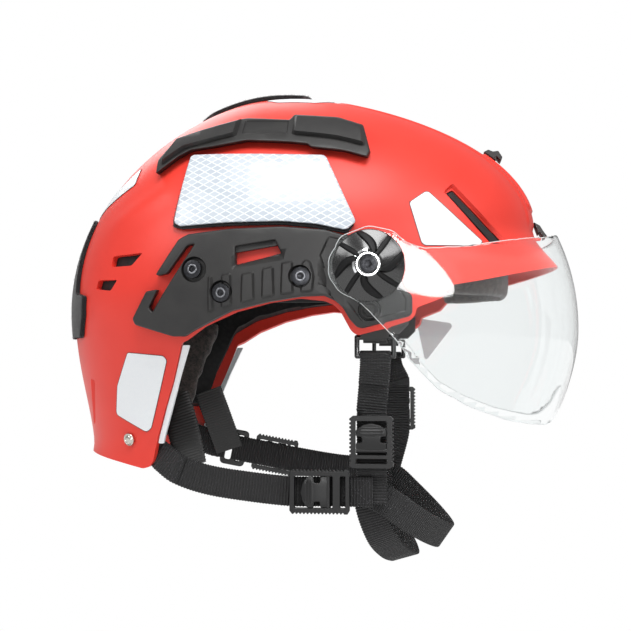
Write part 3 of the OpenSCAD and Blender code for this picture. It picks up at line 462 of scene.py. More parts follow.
# Woven nylon: crossing threads, with dark holes between them, all drawn darker than the black nylon is, as
# painted shade inside the vent
screen, tree = new_material("woven_nylon_screen_black_painted_shade")
where = add(tree, "TexCoord", {}, {})
# A wave node runs through 20 radians in each unit of its scaled vector
wave_turn = 20
waves = []
for axis in ("X", "Z"):
    waves.append(add(tree, "TexWave", {"bands_direction": axis, "wave_profile": "SIN"},
                     {"Vector": where.outputs["Object"], "Scale": 1000 / mesh_pitch * math.tau / wave_turn,
                      "Distortion": 0.0}))
threads = add(tree, "Math", {"operation": "MULTIPLY"},
              {0: waves[0].outputs["Fac"], 1: waves[1].outputs["Fac"]})
shade = add(tree, "ValToRGB", {"stops": [(0.0, "1b1b1c"), (1.0, "040405")]}, {"Fac": threads.outputs[0]})
weave = add(tree, "Bump", {}, {"Height": threads.outputs[0], "Strength": 0.5, "Distance": 0.0003})
body = add(tree, "BsdfPrincipled", {},
           {"Base Color": shade.outputs["Color"], "Roughness": 0.6, "Normal": weave.outputs["Normal"]})
add(tree, "OutputMaterial", {}, {"Surface": body.outputs[0]})


def finish_node(name, finish):
    """A CAD node that keeps its own shape takes a new material in each of its slots."""
    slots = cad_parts[name].material_slots
    for s in slots:
        s.material = finish
    if not slots:
        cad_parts[name].data.materials.append(finish)


finish_node("vent_meshes", screen)

# Liner
# The impact liner: black expanded foam, 12 mm thick, moulded to the shell's inside, with a skin of
# fused beads. It is cut away round the ears, the nape and the dial.
liner_t, fit_gap = 12.0, 0.3
liner_edge = [(-64, -22), (-48, -12), (-26, -5), (-6, -1), (10, 1), (26, -1), (34, -3), (40, -1), (75, -1),
              (78, 1), (90, 5), (98, 12), (114, 16), (132, 20), (180, 22)]
liner_nape = [(-76, -52), (-82.5, -75), (-114, -75), (-116, -94), (-200, -94)]
bm = dome(inner_front, 96, 40, -98)
carve(bm, rounded(liner_edge[::-1] + liner_nape + below, 1.5, 2))
dial_room = [(-200, -37), (-60, -37), (-60, 37), (-200, 37)]
carve(bm, dial_room, axes=(0, 1), where=lambda c: c.z < -20)
p = coordinates(bm)
move_to(bm, p - (shell_wall + fit_gap) * outward(p, inner_front))
bmesh.ops.recalc_face_normals(bm, faces=bm.faces)

# Expanded foam: a matt black skin of beads pressed together, each a little lighter in its middle
foam, tree = new_material("expanded_foam_black")
where = add(tree, "TexCoord", {}, {})
beads = add(tree, "TexVoronoi", {"feature": "F1"}, {"Vector": where.outputs["Object"], "Scale": 1000 / 3.2})
bead_bump = add(tree, "Bump", {"invert": True},
                {"Height": beads.outputs["Distance"], "Strength": 0.35, "Distance": 0.0006})
bead_tint = add(tree, "ValToRGB", {"stops": [(0.0, "242324"), (1.0, "111112")]},
                {"Fac": beads.outputs["Distance"]})
body = add(tree, "BsdfPrincipled", {},
           {"Base Color": bead_tint.outputs["Color"], "Roughness": 0.75,
            "Normal": bead_bump.outputs["Normal"]})
add(tree, "OutputMaterial", {}, {"Surface": body.outputs[0]})
liner = piece("foam_liner", bm, foam, replaces=["liner"], smooth=30)
modifier(liner, "SOLIDIFY", thickness=liner_t / 1000, offset=-1, use_even_offset=False)
break_edges(liner, 1.2, 50)

# Side rails
# The side rails: glass-filled nylon mouldings, 6 mm thick, screwed to the shell, with a slanted clip
# window, grip blocks, three screw wells and a round accessory socket at the front corner.


def circle(at, radius, points=28):
    turns = [k * math.tau / points for k in range(points)]
    return [(at[0] + radius * math.cos(turn), at[1] + radius * math.sin(turn)) for turn in turns]


def extruded(bm):
    """Extrudes all faces of a sheet, and gives the new points."""
    made = bmesh.ops.extrude_face_region(bm, geom=list(bm.faces))
    return [v for v in made["geom"] if isinstance(v, bmesh.types.BMVert)]


def relief(facing, outline, low, high, edge=0.0, holes=(), features=(), step=5.0):
    """A plate that follows the skin between two heights over it. It is drawn flat as (u, height, v), trimmed
    to its outline and given a rounded upper edge. Raised or sunk features follow, each with an outline, a
    rise and a wall. Then it is laid on the skin."""
    low_corner, high_corner = np.min(outline, axis=0) - step, np.max(outline, axis=0) + step
    size = high_corner - low_corner
    middle = (low_corner + high_corner) / 2
    bm = bmesh.new()
    columns, rows = [int(s / step) + 1 for s in size]
    bmesh.ops.create_grid(bm, x_segments=columns, y_segments=rows, size=0.5)
    bmesh.ops.transform(bm, verts=bm.verts, matrix=Matrix(
        ((size[0], 0, 0, middle[0]), (0, 0, 1, 0), (0, size[1], 0, middle[1]), (0, 0, 0, 1))))
    carve(bm, outline, keep="inside")
    for hole in holes:
        carve(bm, hole)
    if edge:
        for share in (0.15, 0.5, 1.0):
            score(bm, shrunk(outline, share * edge))
            for hole in holes:
                score(bm, shrunk(hole, -share * edge))
    for drawn, _, wall in features:
        score(bm, drawn)
        score(bm, shrunk(drawn, wall))
    upper = extruded(bm)
    flat = np.array([v.co for v in upper]).reshape(-1, 3)[:, [0, 2]]
    rise = np.full(len(upper), float(high))
    if edge:
        near = distance(list(outline), flat)
        for hole in holes:
            near = np.minimum(near, distance(list(hole), flat))
        rise -= edge - np.sqrt(edge**2 - (edge - np.minimum(near, edge)) ** 2)
    for drawn, up, wall in features:
        rise += up * inside(list(drawn), flat) * np.clip(distance(list(drawn), flat) / wall, 0, 1)
    for v, h in zip(upper, rise):
        v.co.y = h
    for v in bm.verts:
        if v.co.y == 0:
            v.co.y = low
    bmesh.ops.recalc_face_normals(bm, faces=bm.faces)
    p = coordinates(bm)
    if callable(facing):
        move_to(bm, facing(p[:, 0], p[:, 1], p[:, 2]))
    else:
        move_to(bm, place(facing, p[:, 0], p[:, 1], p[:, 2]))
    bmesh.ops.recalc_face_normals(bm, faces=bm.faces)
    return bm


def joined(bm, other):
    """Adds the second mesh to the first."""
    mesh = bpy.data.meshes.new("part")
    other.to_mesh(mesh)
    other.free()
    bm.from_mesh(mesh)
    bpy.data.meshes.remove(mesh)
    return bm


def other_side(bm):
    """A mirrored copy for the wearer's left, its faces turned right way out."""
    made = bm.copy()
    bmesh.ops.scale(made, vec=(1, -1, 1), verts=made.verts)
    bmesh.ops.reverse_faces(made, faces=made.faces)
    return made


def pair(name, bm, finish, slot, node, smooth=35):
    """The wearer's right piece and its mirrored left one."""
    for side, mesh in (("right", bm), ("left", other_side(bm))):
        piece(f"{name}_{side}", mesh, finish, replaces=[f"{node}_{side}"], smooth=smooth)


rail_t = 6.0
pivot_at, pivot_face, pivot_seat_r = (50.5, 14.0), 113.65, 28
accessory_at, accessory_r = (50.3, -11.0), 3.0
rail_screws_at = [(-51, 12.5), (-34.5, -0.5), (11, 8)]
rail_outline = rounded([(-55, 33.5), (-61, 30.5), (-75, 10), (-73, 9.5), (-67.5, 10.5), (-55.5, 26.5),
                        (-51, 27.5), (-52.5, 25), (-71.5, -3), (-77.5, -12), (-79.5, -9), (-73.5, 1.5),
                        (-81, 0.5), (-91, -15.5), (-89.5, -19), (-65.5, -26), (-58, -26), (-52, -22.5),
                        (-29, -11.5), (-7.5, -6.5), (11.5, -3.5), (24.5, -3), (31, -6), (35, -9.5),
                        (39, -16.5), (43, -21), (46, -21.5), (73, -14.5), (74.5, -12.5), (74.5, -3), (72, 0),
                        (70, 3), (64, 30), (37, 31.5), (25, 35), (0, 37), (-30, 36)], 0.9, 2)
rail_slot = rounded([(-26.5, 25.5), (-3.5, 29), (0, 21.5), (-26, 15)], 0.6, 2)
slot_lip = [(-28.3, 12.4), (1.6, 17.4), (3.2, 24), (-28.6, 20)]
# A dark plate in the top of the clip window is painted shade, for the shadow under the rail's upper wall
slot_painted_shade = rounded([(-27.4, 26.6), (-2.6, 30.2), (-1.2, 26.2), (-27.4, 21.8)], 0.4, 2)
grips = [[(-43, -13), (-39, -11.5), (-39.5, 9), (-42.5, 8.5)],
         [(-35, -10.5), (-28, -8.5), (-28.5, 10.5), (-34.5, 9.5)],
         [(-23.4, -7.5), (-14.8, -5.5), (-15.2, 11.2), (-22.8, 9.7)],
         [(-11.3, -4.8), (-3.3, -3.3), (-3.8, 14.2), (-10.8, 12.7)],
         [(-0.4, -2.9), (7.7, -1.9), (7.2, 17), (0.3, 16)],
         [(11.1, -1.6), (18.6, -0.8), (19.6, 8), (17.5, 16.5), (14.5, 18), (12, 16)]]
# Each feature has its rise and the width of its wall: the grip blocks, the window's slanted lip, the screw
# wells, the stepped socket and the lower field round the knob
features = [(rounded(g, 1.0, 2), 1.6, 1.3) for g in grips]
features += [(slot_lip, -3.2, 3.4)]
features += [(circle(at, r), -3.4, 0.9) for at, r in zip(rail_screws_at, (7.6, 6.6, 6.6))]
features += [(circle(accessory_at, 6.6), -1.9, 0.5), (circle(accessory_at, 5.3), 1.1, 0.4),
             (circle(accessory_at, 4.2), -1.4, 0.5)]
features += [([(46, -18.4), (71, -12), (71.6, -5), (66, 6), (66, 27), (40, 28.5), (27, 31.5), (22, 20),
               (28, 0), (37, -6)], -0.8, 1.0)]
bm = relief("side", rail_outline, fit_gap, rail_t, edge=1.1,
            holes=[rail_slot, circle(accessory_at, accessory_r, 24)], features=features)
p = coordinates(bm)
over_pivot = np.hypot(p[:, 0] - pivot_at[0], p[:, 2] - pivot_at[1]) < pivot_seat_r
p[:, 1] = np.where(over_pivot, np.maximum(p[:, 1], -pivot_face), p[:, 1])
move_to(bm, p)

floor_disc = relief("side", circle(accessory_at, accessory_r + 0.4, 24), fit_gap, fit_gap + 0.4, step=4)
joined(bm, floor_disc)
# The dark plate across the top of the clip window, painted shade under the rail's upper wall
joined(bm, relief("side", slot_painted_shade, fit_gap, 3.4, edge=0.3, step=5))

# Glass-filled nylon, moulded: dark grey and faintly mottled, with a fine grain that blurs its shine
nylon, tree = new_material("glass_filled_nylon_dark_grey")
where = add(tree, "TexCoord", {}, {})
grain = add(tree, "TexNoise", {}, {"Vector": where.outputs["Object"], "Scale": 1000 / 0.7, "Detail": 4.0})
mottle = add(tree, "TexNoise", {}, {"Vector": where.outputs["Object"], "Scale": 1000 / 14, "Detail": 2.0})
tint = add(tree, "ValToRGB", {"stops": [(0.35, "222121"), (0.7, "2a2928")]}, {"Fac": mottle.outputs["Fac"]})
grain_bump = add(tree, "Bump", {}, {"Height": grain.outputs["Fac"], "Strength": 0.22, "Distance": 0.0003})
rough = add(tree, "MapRange", {}, {"Value": grain.outputs["Fac"], "To Min": 0.38, "To Max": 0.56})
body = add(tree, "BsdfPrincipled", {},
           {"Base Color": tint.outputs["Color"], "Roughness": rough.outputs["Result"], "IOR": 1.53,
            "Normal": grain_bump.outputs["Normal"]})
add(tree, "OutputMaterial", {}, {"Surface": body.outputs[0]})
pair("side_rail", bm, nylon, "rail_plastic", "side_rail")

# Top rails
# The top rails: nylon mouldings over the temples, each one thin base that carries a taller block at
# either end and a recessed middle, all with broad chamfers.
top_rail_outline = rounded([(-80.5, 73), (-67, 83), (-59, 87), (-43, 88.5), (-24.5, 91.5), (0, 90),
                            (12.5, 88.5), (14.5, 86.5), (34, 84), (48, 80), (49.5, 84), (44.5, 102.5),
                            (29, 108), (2.5, 110), (0, 106), (-26, 108), (-30, 107.5), (-71, 97),
                            (-81, 82.5)], 0.8, 2)
rear_block = rounded([(-77.5, 78), (-63, 88), (-44, 92), (-31, 95), (-29.5, 107.6), (-71, 97), (-79, 82.5)],
                     0.8, 2)
front_block = rounded([(2.5, 95), (16, 93.5), (30, 91.5), (47, 87), (44.5, 102.5), (29, 108), (3, 109.8)],
                      0.8, 2)
bm = relief("side", top_rail_outline, fit_gap, 6.0, edge=1.0, step=4,
            features=[(rear_block, 3.0, 2.0), (front_block, 3.0, 2.0),
                      ([(-28, 96), (0, 95), (0, 105), (-27, 106)], -0.8, 0.8)])
pair("top_rail", bm, nylon, "rail_plastic", "top_rail", smooth=28)

# Hook-and-loop patches
# Black nylon loop fabric, stuck down: a panel under each reflective panel, a lens over the crown and a
# shaped patch round the rear. Loose loops stand up from the cut edges and the face.

# Loop fabric: a mat of fine loops that takes the light without a shine
fuzz, tree = new_material("nylon_loop_fabric_black")
where = add(tree, "TexCoord", {}, {})
loops = add(tree, "TexNoise", {}, {"Vector": where.outputs["Object"], "Scale": 1000 / 1.1, "Detail": 6.0,
                                   "Roughness": 0.7})
loop_tint = add(tree, "ValToRGB", {"stops": [(0.35, "0c0c0d"), (0.75, "262528")]},
                {"Fac": loops.outputs["Fac"]})
loop_bump = add(tree, "Bump", {}, {"Height": loops.outputs["Fac"], "Strength": 0.9, "Distance": 0.0008})
body = add(tree, "BsdfPrincipled", {},
           {"Base Color": loop_tint.outputs["Color"], "Roughness": 0.95, "Sheen Weight": 0.35,
            "Sheen Roughness": 0.5, "Specular IOR Level": 0.2, "Normal": loop_bump.outputs["Normal"]})
add(tree, "OutputMaterial", {}, {"Surface": body.outputs[0]})
chance = np.random.default_rng(7)


def copies(bm, count):
    """Repeats a small mesh, and says which of the copies each point belongs to."""
    each = len(bm.verts)
    while len(bm.verts) < each * count:
        bmesh.ops.duplicate(bm, geom=[*bm.verts, *bm.edges, *bm.faces])
    bmesh.ops.delete(bm, geom=list(bm.verts)[each * count:], context="VERTS")
    return np.arange(each * count) // each


def with_loops(bm, facing, outline, height, count, rim_share):
    """Adds short loose fibres, each a thin three-sided spike, over a patch and along its cut edge."""
    corners = np.array(outline, float)
    runs = np.roll(corners, -1, 0) - corners
    lengths = np.linalg.norm(runs, axis=1)
    on_rim = int(count * rim_share)
    k = chance.choice(len(corners), size=on_rim, p=lengths / lengths.sum())
    places = [corners[k] + runs[k] * chance.random((on_rim, 1))]
    low, high = corners.min(0), corners.max(0)
    spots = low + (high - low) * chance.random((count * 3, 2))
    places = np.concatenate([*places, spots[inside(outline, spots)][: count - on_rim]])
    base = place(facing, places[:, 0], chance.uniform(0.3, 1, len(places)) * height - 0.2, places[:, 1])
    rise = outward(base) * 0.8 + chance.normal(size=(len(places), 3)) * 0.5
    rise *= chance.uniform(0.5, 1.15, (len(places), 1)) / np.linalg.norm(rise, axis=1)[:, None]
    thread = bmesh.new()
    bmesh.ops.create_cone(thread, cap_ends=False, segments=3, radius1=0.07, radius2=0.05, depth=1.0)
    which = copies(thread, len(places))
    p = coordinates(thread)
    along = rise / np.linalg.norm(rise, axis=1)[:, None]
    aside = np.cross(along, [0.3, 0.5, 0.8])
    aside /= np.linalg.norm(aside, axis=1)[:, None]
    third = np.cross(along, aside)
    move_to(thread, base[which] + p[:, :1] * aside[which] + p[:, 1:2] * third[which]
            + (p[:, 2:] + 0.5) * rise[which])
    return joined(bm, thread)


velcro_t = 2.6
side_patch = rounded([(-60, 36.9), (-30, 38.2), (0, 38.4), (20, 36.4), (35.8, 33.3), (38, 33.8),
                      (41.2, 38.5), (41.2, 41), (23.3, 79.6), (22, 80.9), (-57, 83.4), (-58.8, 82.6),
                      (-65.7, 42.5), (-65.6, 38.5)], 1.0, 2)
bm = relief("side", side_patch, fit_gap, velcro_t, edge=0.5, step=6)
pair("side_loop_patch", with_loops(bm, "side", side_patch, velcro_t, count=1500, rim_share=1.0), fuzz,
     "velcro", "side_velcro")
crown_patch = rounded([(-66, -14), (-56, -28), (-22, -33), (2, -24), (5, -12), (5, 12), (2, 24), (-22, 33),
                       (-56, 28), (-66, 14)], 3, 3)
bm = relief("top", crown_patch, fit_gap, velcro_t, edge=0.6, step=5)
with_loops(bm, "top", crown_patch, velcro_t, count=5200, rim_share=0.3)
piece("crown_loop_patch", bm, fuzz, replaces=["crown_velcro"])
rear_patch = rounded([(-40, 50), (-44, 46), (-56, 2), (-68, 0), (-66, -12), (-58, -26), (58, -26), (66, -12),
                      (68, 0), (56, 2), (44, 46), (40, 50)], 2, 3)
bm = relief("rear", rear_patch, fit_gap, velcro_t, edge=0.6, step=5)
with_loops(bm, "rear", rear_patch, velcro_t, count=5200, rim_share=0.3)
piece("rear_loop_patch", bm, fuzz, replaces=["rear_velcro"])

# Reflective panels
# White prismatic sheeting on a thin plastic card, held on the loop patches: small slanted cells with
# clear borders under a glossy face, with a softly rounded edge.
panel_outline = rounded([(-61, 38.5), (-30, 40), (0, 40.3), (20, 38.5), (35.5, 35.2), (37.5, 35.5),
                         (42, 39.5), (42, 41), (24, 80), (22, 81.5), (-57, 84), (-59, 83), (-65, 42.5),
                         (-64.5, 40.5)], 2.6, 4)
bm = relief("side", panel_outline, velcro_t + 0.1, velcro_t + 1.3, edge=0.8, step=4)
# Prismatic sheeting: a clear glossy face over pale cells with lighter borders
sheeting, tree = new_material("prismatic_sheeting_white")
where = add(tree, "TexCoord", {}, {})
# Its cells are rhombs: the face is squeezed until they are squares, then turned by 45 degrees
cell_w, cell_h = 7.4, 4.1
diagonal = add(tree, "Mapping", {},
               {"Vector": where.outputs["Object"], "Scale": (1000 / cell_w, 1.0, 1000 / cell_h),
                "Rotation": (math.radians(90), 0, math.radians(45))})
cells = add(tree, "TexBrick", {"offset": 0.0, "squash": 1.0},
            {"Vector": diagonal.outputs["Vector"], "Color1": colour("bcc5cf"), "Color2": colour("ccd4dc"),
             "Mortar": colour("eef2f5"), "Scale": 1.0, "Mortar Size": 0.085, "Mortar Smooth": 0.7,
             "Brick Width": math.sqrt(0.5), "Row Height": math.sqrt(0.5)})
ripple = add(tree, "Bump", {"invert": True},
             {"Height": cells.outputs["Fac"], "Strength": 0.25, "Distance": 0.0002})
body = add(tree, "BsdfPrincipled", {},
           {"Base Color": cells.outputs["Color"], "Roughness": 0.35, "Coat Weight": 0.3,
            "Coat Roughness": 0.06, "Normal": ripple.outputs["Normal"]})
add(tree, "OutputMaterial", {}, {"Surface": body.outputs[0]})
pair("reflective_panel", bm, sheeting, "reflective", "side_reflector")

# Reflective stickers
# Cut from smooth white reflective film, 0.3 mm thick: one over the crown, a pair high at the rear, a
# pair beside the front vents, a pair low at the rear and a strip inside each nape edge.

# Reflective film: bright white, with a fine speckle of glass beads under a thin gloss
film_white, tree = new_material("reflective_film_white")
where = add(tree, "TexCoord", {}, {})
speckle = add(tree, "TexNoise", {}, {"Vector": where.outputs["Object"], "Scale": 1000 / 0.9, "Detail": 2.0})
tint = add(tree, "ValToRGB", {"stops": [(0.0, "edf1f5"), (1.0, "f8fafb")]}, {"Fac": speckle.outputs["Fac"]})
glass_beads = add(tree, "Bump", {}, {"Height": speckle.outputs["Fac"], "Strength": 0.12, "Distance": 0.0002})
body = add(tree, "BsdfPrincipled", {},
           {"Base Color": tint.outputs["Color"], "Roughness": 0.4, "Coat Weight": 0.2, "Coat Roughness": 0.1,
            "Normal": glass_beads.outputs["Normal"]})
add(tree, "OutputMaterial", {}, {"Surface": body.outputs[0]})
# A thin dark red-grey line just outside each sticker's edge is painted shadow, cast by the film's edge on
# the red paint
painted_edge_shadow, tree = new_material("sticker_edge_painted_shadow")
where = add(tree, "TexCoord", {}, {})
shadow_noise = add(tree, "TexNoise", {}, {"Vector": where.outputs["Object"], "Scale": 1000 / 2.5})
tint = add(tree, "ValToRGB", {"stops": [(0.0, "4a3436"), (1.0, "6d5557")]}, {"Fac": shadow_noise.outputs["Fac"]})
body = add(tree, "BsdfPrincipled", {}, {"Base Color": tint.outputs["Color"], "Roughness": 0.7})
add(tree, "OutputMaterial", {}, {"Surface": body.outputs[0]})


def sticker(facing, outline):
    """A film patch, ringed by a painted shadow line just outside its edge."""
    outline = rounded(outline, 1.4, 3)
    bm = relief(facing, outline, 0.12, 0.5, edge=0.15, step=4)
    line = relief(facing, shrunk(outline, -0.35), 0.05, 0.25, step=4)
    for f in line.faces:
        f.material_index = 1
    return joined(bm, line)


stickers = {
    "rear_top_stickers": [(-97, 81), (-98, 69), (-134, 50), (-128, 58)],
    "front_side_stickers": [(73, 52), (74, 53.5), (82, 59.5), (84, 59.5), (115.5, 30.5), (114.5, 29),
                            (105, 27.5), (82, 27), (80, 28.5)],
    "rear_side_stickers": [(-98, -35.5), (-74, -37.5), (-72, -40), (-86, -81.5), (-88.5, -83.5),
                           (-90.5, -83.5), (-110, -74), (-110.5, -72), (-108, -56)],
}
for name, outline in stickers.items():
    bm = sticker("side", outline)
    piece(name + "_film", joined(bm, other_side(bm)), [film_white, painted_edge_shadow],
          replaces=[name])
crown_cut = [(-20, -36), (-12, -42), (12, -40), (22, -28), (22, 28), (12, 40), (-12, 42), (-20, 36), (5, 25),
             (8, 12), (8, -12), (5, -25)]
piece("crown_sticker_film", sticker("top", crown_cut), [film_white, painted_edge_shadow],
      replaces=["crown_sticker"])

# Nape edge strips
# A strip of the same white film inside each front edge of the nape, 4 mm wide.
strip = rounded([(-61, -31), (-68.5, -53), (-74.2, -67.5), (-80.6, -86), (-82, -91), (-78.4, -91),
                 (-77, -86), (-70.5, -67.5), (-64.5, -50), (-57, -31)], 0.6, 2)
bm = relief("side", strip, -0.4 - shell_wall, -shell_wall + 2.4, step=4)
piece("nape_edge_strip_film", joined(bm, other_side(bm)), film_white,
      replaces=["nape_edge_strips"])

# Nape rivets
# Nickel-plated brass rivets, 8 mm across, each a low dome in a rolled rim on a short collar.

# Nickel plate on brass: a warm bright metal, a little rubbed
nickel, tree = new_material("nickel_plated_brass")
where = add(tree, "TexCoord", {}, {})
wear = add(tree, "TexNoise", {}, {"Vector": where.outputs["Object"], "Scale": 1000 / 3, "Detail": 4.0})
rough = add(tree, "MapRange", {}, {"Value": wear.outputs["Fac"], "To Min": 0.18, "To Max": 0.38})
body = add(tree, "BsdfPrincipled", {},
           {"Base Color": colour("cfcbc2"), "Metallic": 1.0, "Roughness": rough.outputs["Result"]})
add(tree, "OutputMaterial", {}, {"Surface": body.outputs[0]})


def turned(profile, steps=64):
    """A body of revolution about the z axis from (radius, height) points."""
    bm = bmesh.new()
    line = [bm.verts.new((r, 0, h)) for r, h in profile]
    edges = [bm.edges.new(pair) for pair in zip(line, line[1:])]
    bmesh.ops.spin(bm, geom=[*line, *edges], cent=(0, 0, 0), axis=(0, 0, 1), angle=math.tau, steps=steps,
                   use_merge=True)
    bmesh.ops.remove_doubles(bm, verts=bm.verts, dist=1e-4)
    bmesh.ops.recalc_face_normals(bm, faces=bm.faces)
    return bm


def side_spot(at):
    """A place on the skin seen from the side, and the direction square to the skin there."""
    base = land("side", np.array([float(at[0])]), np.array([float(at[1])]))
    return base[0], outward(base)[0]


def stood_on(bm, at, lift):
    """Stands a body drawn about the z axis on the skin, at a place seen from the side."""
    base, out = side_spot(at)
    n = Vector(out)
    facing = n.to_track_quat("Z", "Y").to_matrix().to_4x4()
    bmesh.ops.transform(bm, verts=bm.verts, matrix=Matrix.Translation(Vector(base) + lift * n) @ facing)
    return bm


rivet_at = (-101.5, -89)
rivet = turned([(0, 2.0), (1.2, 1.92), (2.1, 1.6), (2.6, 1.15), (2.75, 0.95), (2.95, 0.95), (3.2, 1.3),
                (3.6, 1.4), (3.9, 1.15), (4.0, 0.7), (4.0, 0.1), (2.0, 0.1), (2.0, -7.6), (4.0, -7.6),
                (4.0, -8.4), (0, -8.4)])
rivet = stood_on(rivet, rivet_at, lift=0.5)
piece("nape_rivet_pair", joined(rivet, other_side(rivet)), nickel,
      replaces=["nape_rivets"], smooth=40)

# Front hooks
# Two nylon strap hooks on the brow, moulded as one curled rib each.


def slab(outline, width):
    """A closed outline drawn from the side as (x, z), as thick as its width across the helmet."""
    bm = bmesh.new()
    bm.faces.new([bm.verts.new((x, -width / 2, z)) for x, z in outline])
    bmesh.ops.translate(bm, vec=(0, width, 0), verts=extruded(bm))
    bmesh.ops.recalc_face_normals(bm, faces=bm.faces)
    return bm


hook_upper = [(119, 96), (122, 97.5), (125, 96.2), (128.5, 96.6), (131.2, 92.4), (130, 90), (127.5, 92.8),
              (126, 92.2), (127, 90.2)]
hook_lower = [(151.2, 49.6), (155, 47.5), (157.4, 43.6), (160, 40), (157.5, 39), (154.8, 43), (154.2, 41.5)]
for name, outline, width in (("front_hook_upper", hook_upper, 16), ("front_hook_lower", hook_lower, 14)):
    hook = piece(name + "_moulding", slab(outline, width), nylon, replaces=[name])
    break_edges(hook, 0.4, 25)

# Rail screws
# Black-oxide steel screws with a hexagonal socket, deep in their wells. The nodes keep their shape and
# get small bevels on their edges, rounded as by use.

# Black oxide on steel: dark metal with paler scuffs
oxide, tree = new_material("black_oxide_steel")
where = add(tree, "TexCoord", {}, {})
scuff_and_glint = add(tree, "TexNoise", {}, {"Vector": where.outputs["Object"], "Scale": 1000 / 1.2, "Detail": 5.0})
tint = add(tree, "ValToRGB", {"stops": [(0.0, "17171a"), (1.0, "4c4d51")]}, {"Fac": scuff_and_glint.outputs["Fac"]})
body = add(tree, "BsdfPrincipled", {},
           {"Base Color": tint.outputs["Color"], "Metallic": 0.8, "Roughness": 0.36})
add(tree, "OutputMaterial", {}, {"Surface": body.outputs[0]})


def soften(name, finish, width, angle=35):
    """A CAD node that keeps its shape gets a material and broken edges."""
    finish_node(name, finish)
    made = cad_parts[name]
    modifier(made, "WELD", merge_threshold=1e-5)
    break_edges(made, width, angle)
    made.data.shade_smooth()
    made.data.set_sharp_from_angle(angle=math.radians(angle))


for name in ("rail_screws_right", "rail_screws_left", "pivot_screw_right", "pivot_screw_left"):
    soften(name, oxide, 0.35)
# A bright steel ring round each socket is a painted highlight, for the light caught on the rim of its well
painted_highlight, tree = new_material("painted_highlight_steel")
where = add(tree, "TexCoord", {}, {})
scuff_and_glint = add(tree, "TexNoise", {}, {"Vector": where.outputs["Object"], "Scale": 1000 / 0.8, "Detail": 4.0})
tint = add(tree, "ValToRGB", {"stops": [(0.0, "55565a"), (1.0, "a2a3a8")]}, {"Fac": scuff_and_glint.outputs["Fac"]})
body = add(tree, "BsdfPrincipled", {},
           {"Base Color": tint.outputs["Color"], "Metallic": 1.0, "Roughness": 0.32})
add(tree, "OutputMaterial", {}, {"Surface": body.outputs[0]})
rings = bmesh.new()
ring_profile = [(2.0, 0), (2.0, 0.3), (2.25, 0.45), (2.6, 0.45), (2.85, 0.3), (2.85, 0), (2.0, 0)]
for at in rail_screws_at:
    joined(rings, stood_on(turned(ring_profile, 40), at, lift=5.75))
piece("painted_highlight_screw_rings", joined(rings, other_side(rings)), painted_highlight)

# Visor
# The visor: clear polycarbonate, 2 mm thick, moulded as a bowl whose straight ears turn on the pivots,
# with a finely ground rim. The bowl is 9 mm narrower at its lowest than at the pivots.
visor_t, visor_n, visor_half, narrowing = 2.0, 2.4, 115.998, 9
visor_high, visor_low = 42, -84
visor_reach = profile([(164, 42), (175, 20), (178.5, 0), (178.5, -20), (178.5, -42), (169, -66), (161, -84)])


def visor_spans(z):
    """Reach ahead of the pivots and half width at each height."""
    wide = visor_half - narrowing * np.clip(z / visor_low, 0, 1) ** 2.8
    return np.interp(z, *visor_reach) - pivot_at[0], wide


def visor_fullness(p):
    reach, wide = visor_spans(p[:, 2])
    return (np.maximum(p[:, 0] - pivot_at[0], 0) / reach) ** visor_n + (np.abs(p[:, 1]) / wide) ** visor_n


def visor_out(p):
    """Direction square to the visor, which is level on its straight ears."""
    step = 0.5
    rise = np.stack([visor_fullness(p + d) - visor_fullness(p - d) for d in np.eye(3) * step], 1)
    return rise / np.maximum(np.linalg.norm(rise, axis=1), 1e-9)[:, None]


visor_outline = [(200, 38.5), (163, 38.5), (155, 34.5), (122, 28.5), (106, 25.5), (82, 24), (72, 27),
                 (64, 34), (50, 37), (34, 31), (27, 18), (27, 8), (33, -1), (45.5, -7.5), (60, -22.5),
                 (68, -31.5), (72, -38.5), (79, -46), (89, -56.5), (106.5, -66.5), (129, -75), (144, -78),
                 (154, -79.5), (160, -77.5), (166, -70), (174, -52), (180, -46), (200, -44)]
# The outer columns of the grid, past 1 / spread of its width, are the ears
columns, rows, spread, ear_scale = 112, 44, 1.16, 460
bm = bmesh.new()
bmesh.ops.create_grid(bm, x_segments=columns, y_segments=rows, size=0.5)
p = coordinates(bm)
turn = np.clip((p[:, 0] * spread) * math.pi, -math.pi / 2, math.pi / 2)
ear = np.maximum(np.abs(p[:, 0]) - 0.5 / spread, 0) * ear_scale
z = visor_high - (0.5 - p[:, 1]) * (visor_high - visor_low)
reach, wide = visor_spans(z)
x = pivot_at[0] + reach * np.abs(np.cos(turn)) ** (2 / visor_n) - ear
move_to(bm, np.stack([x, wide * np.sign(turn) * np.abs(np.sin(turn)) ** (2 / visor_n), z], 1))
carve(bm, rounded(visor_outline, 2.5, 4), keep="inside")
carve(bm, circle(pivot_at, 3.3, 24))
bmesh.ops.remove_doubles(bm, verts=bm.verts, dist=0.55)
bmesh.ops.dissolve_degenerate(bm, edges=bm.edges, dist=0.2)
bmesh.ops.recalc_face_normals(bm, faces=bm.faces)
if sum(f.normal.x for f in bm.faces) < 0:
    bmesh.ops.reverse_faces(bm, faces=bm.faces)

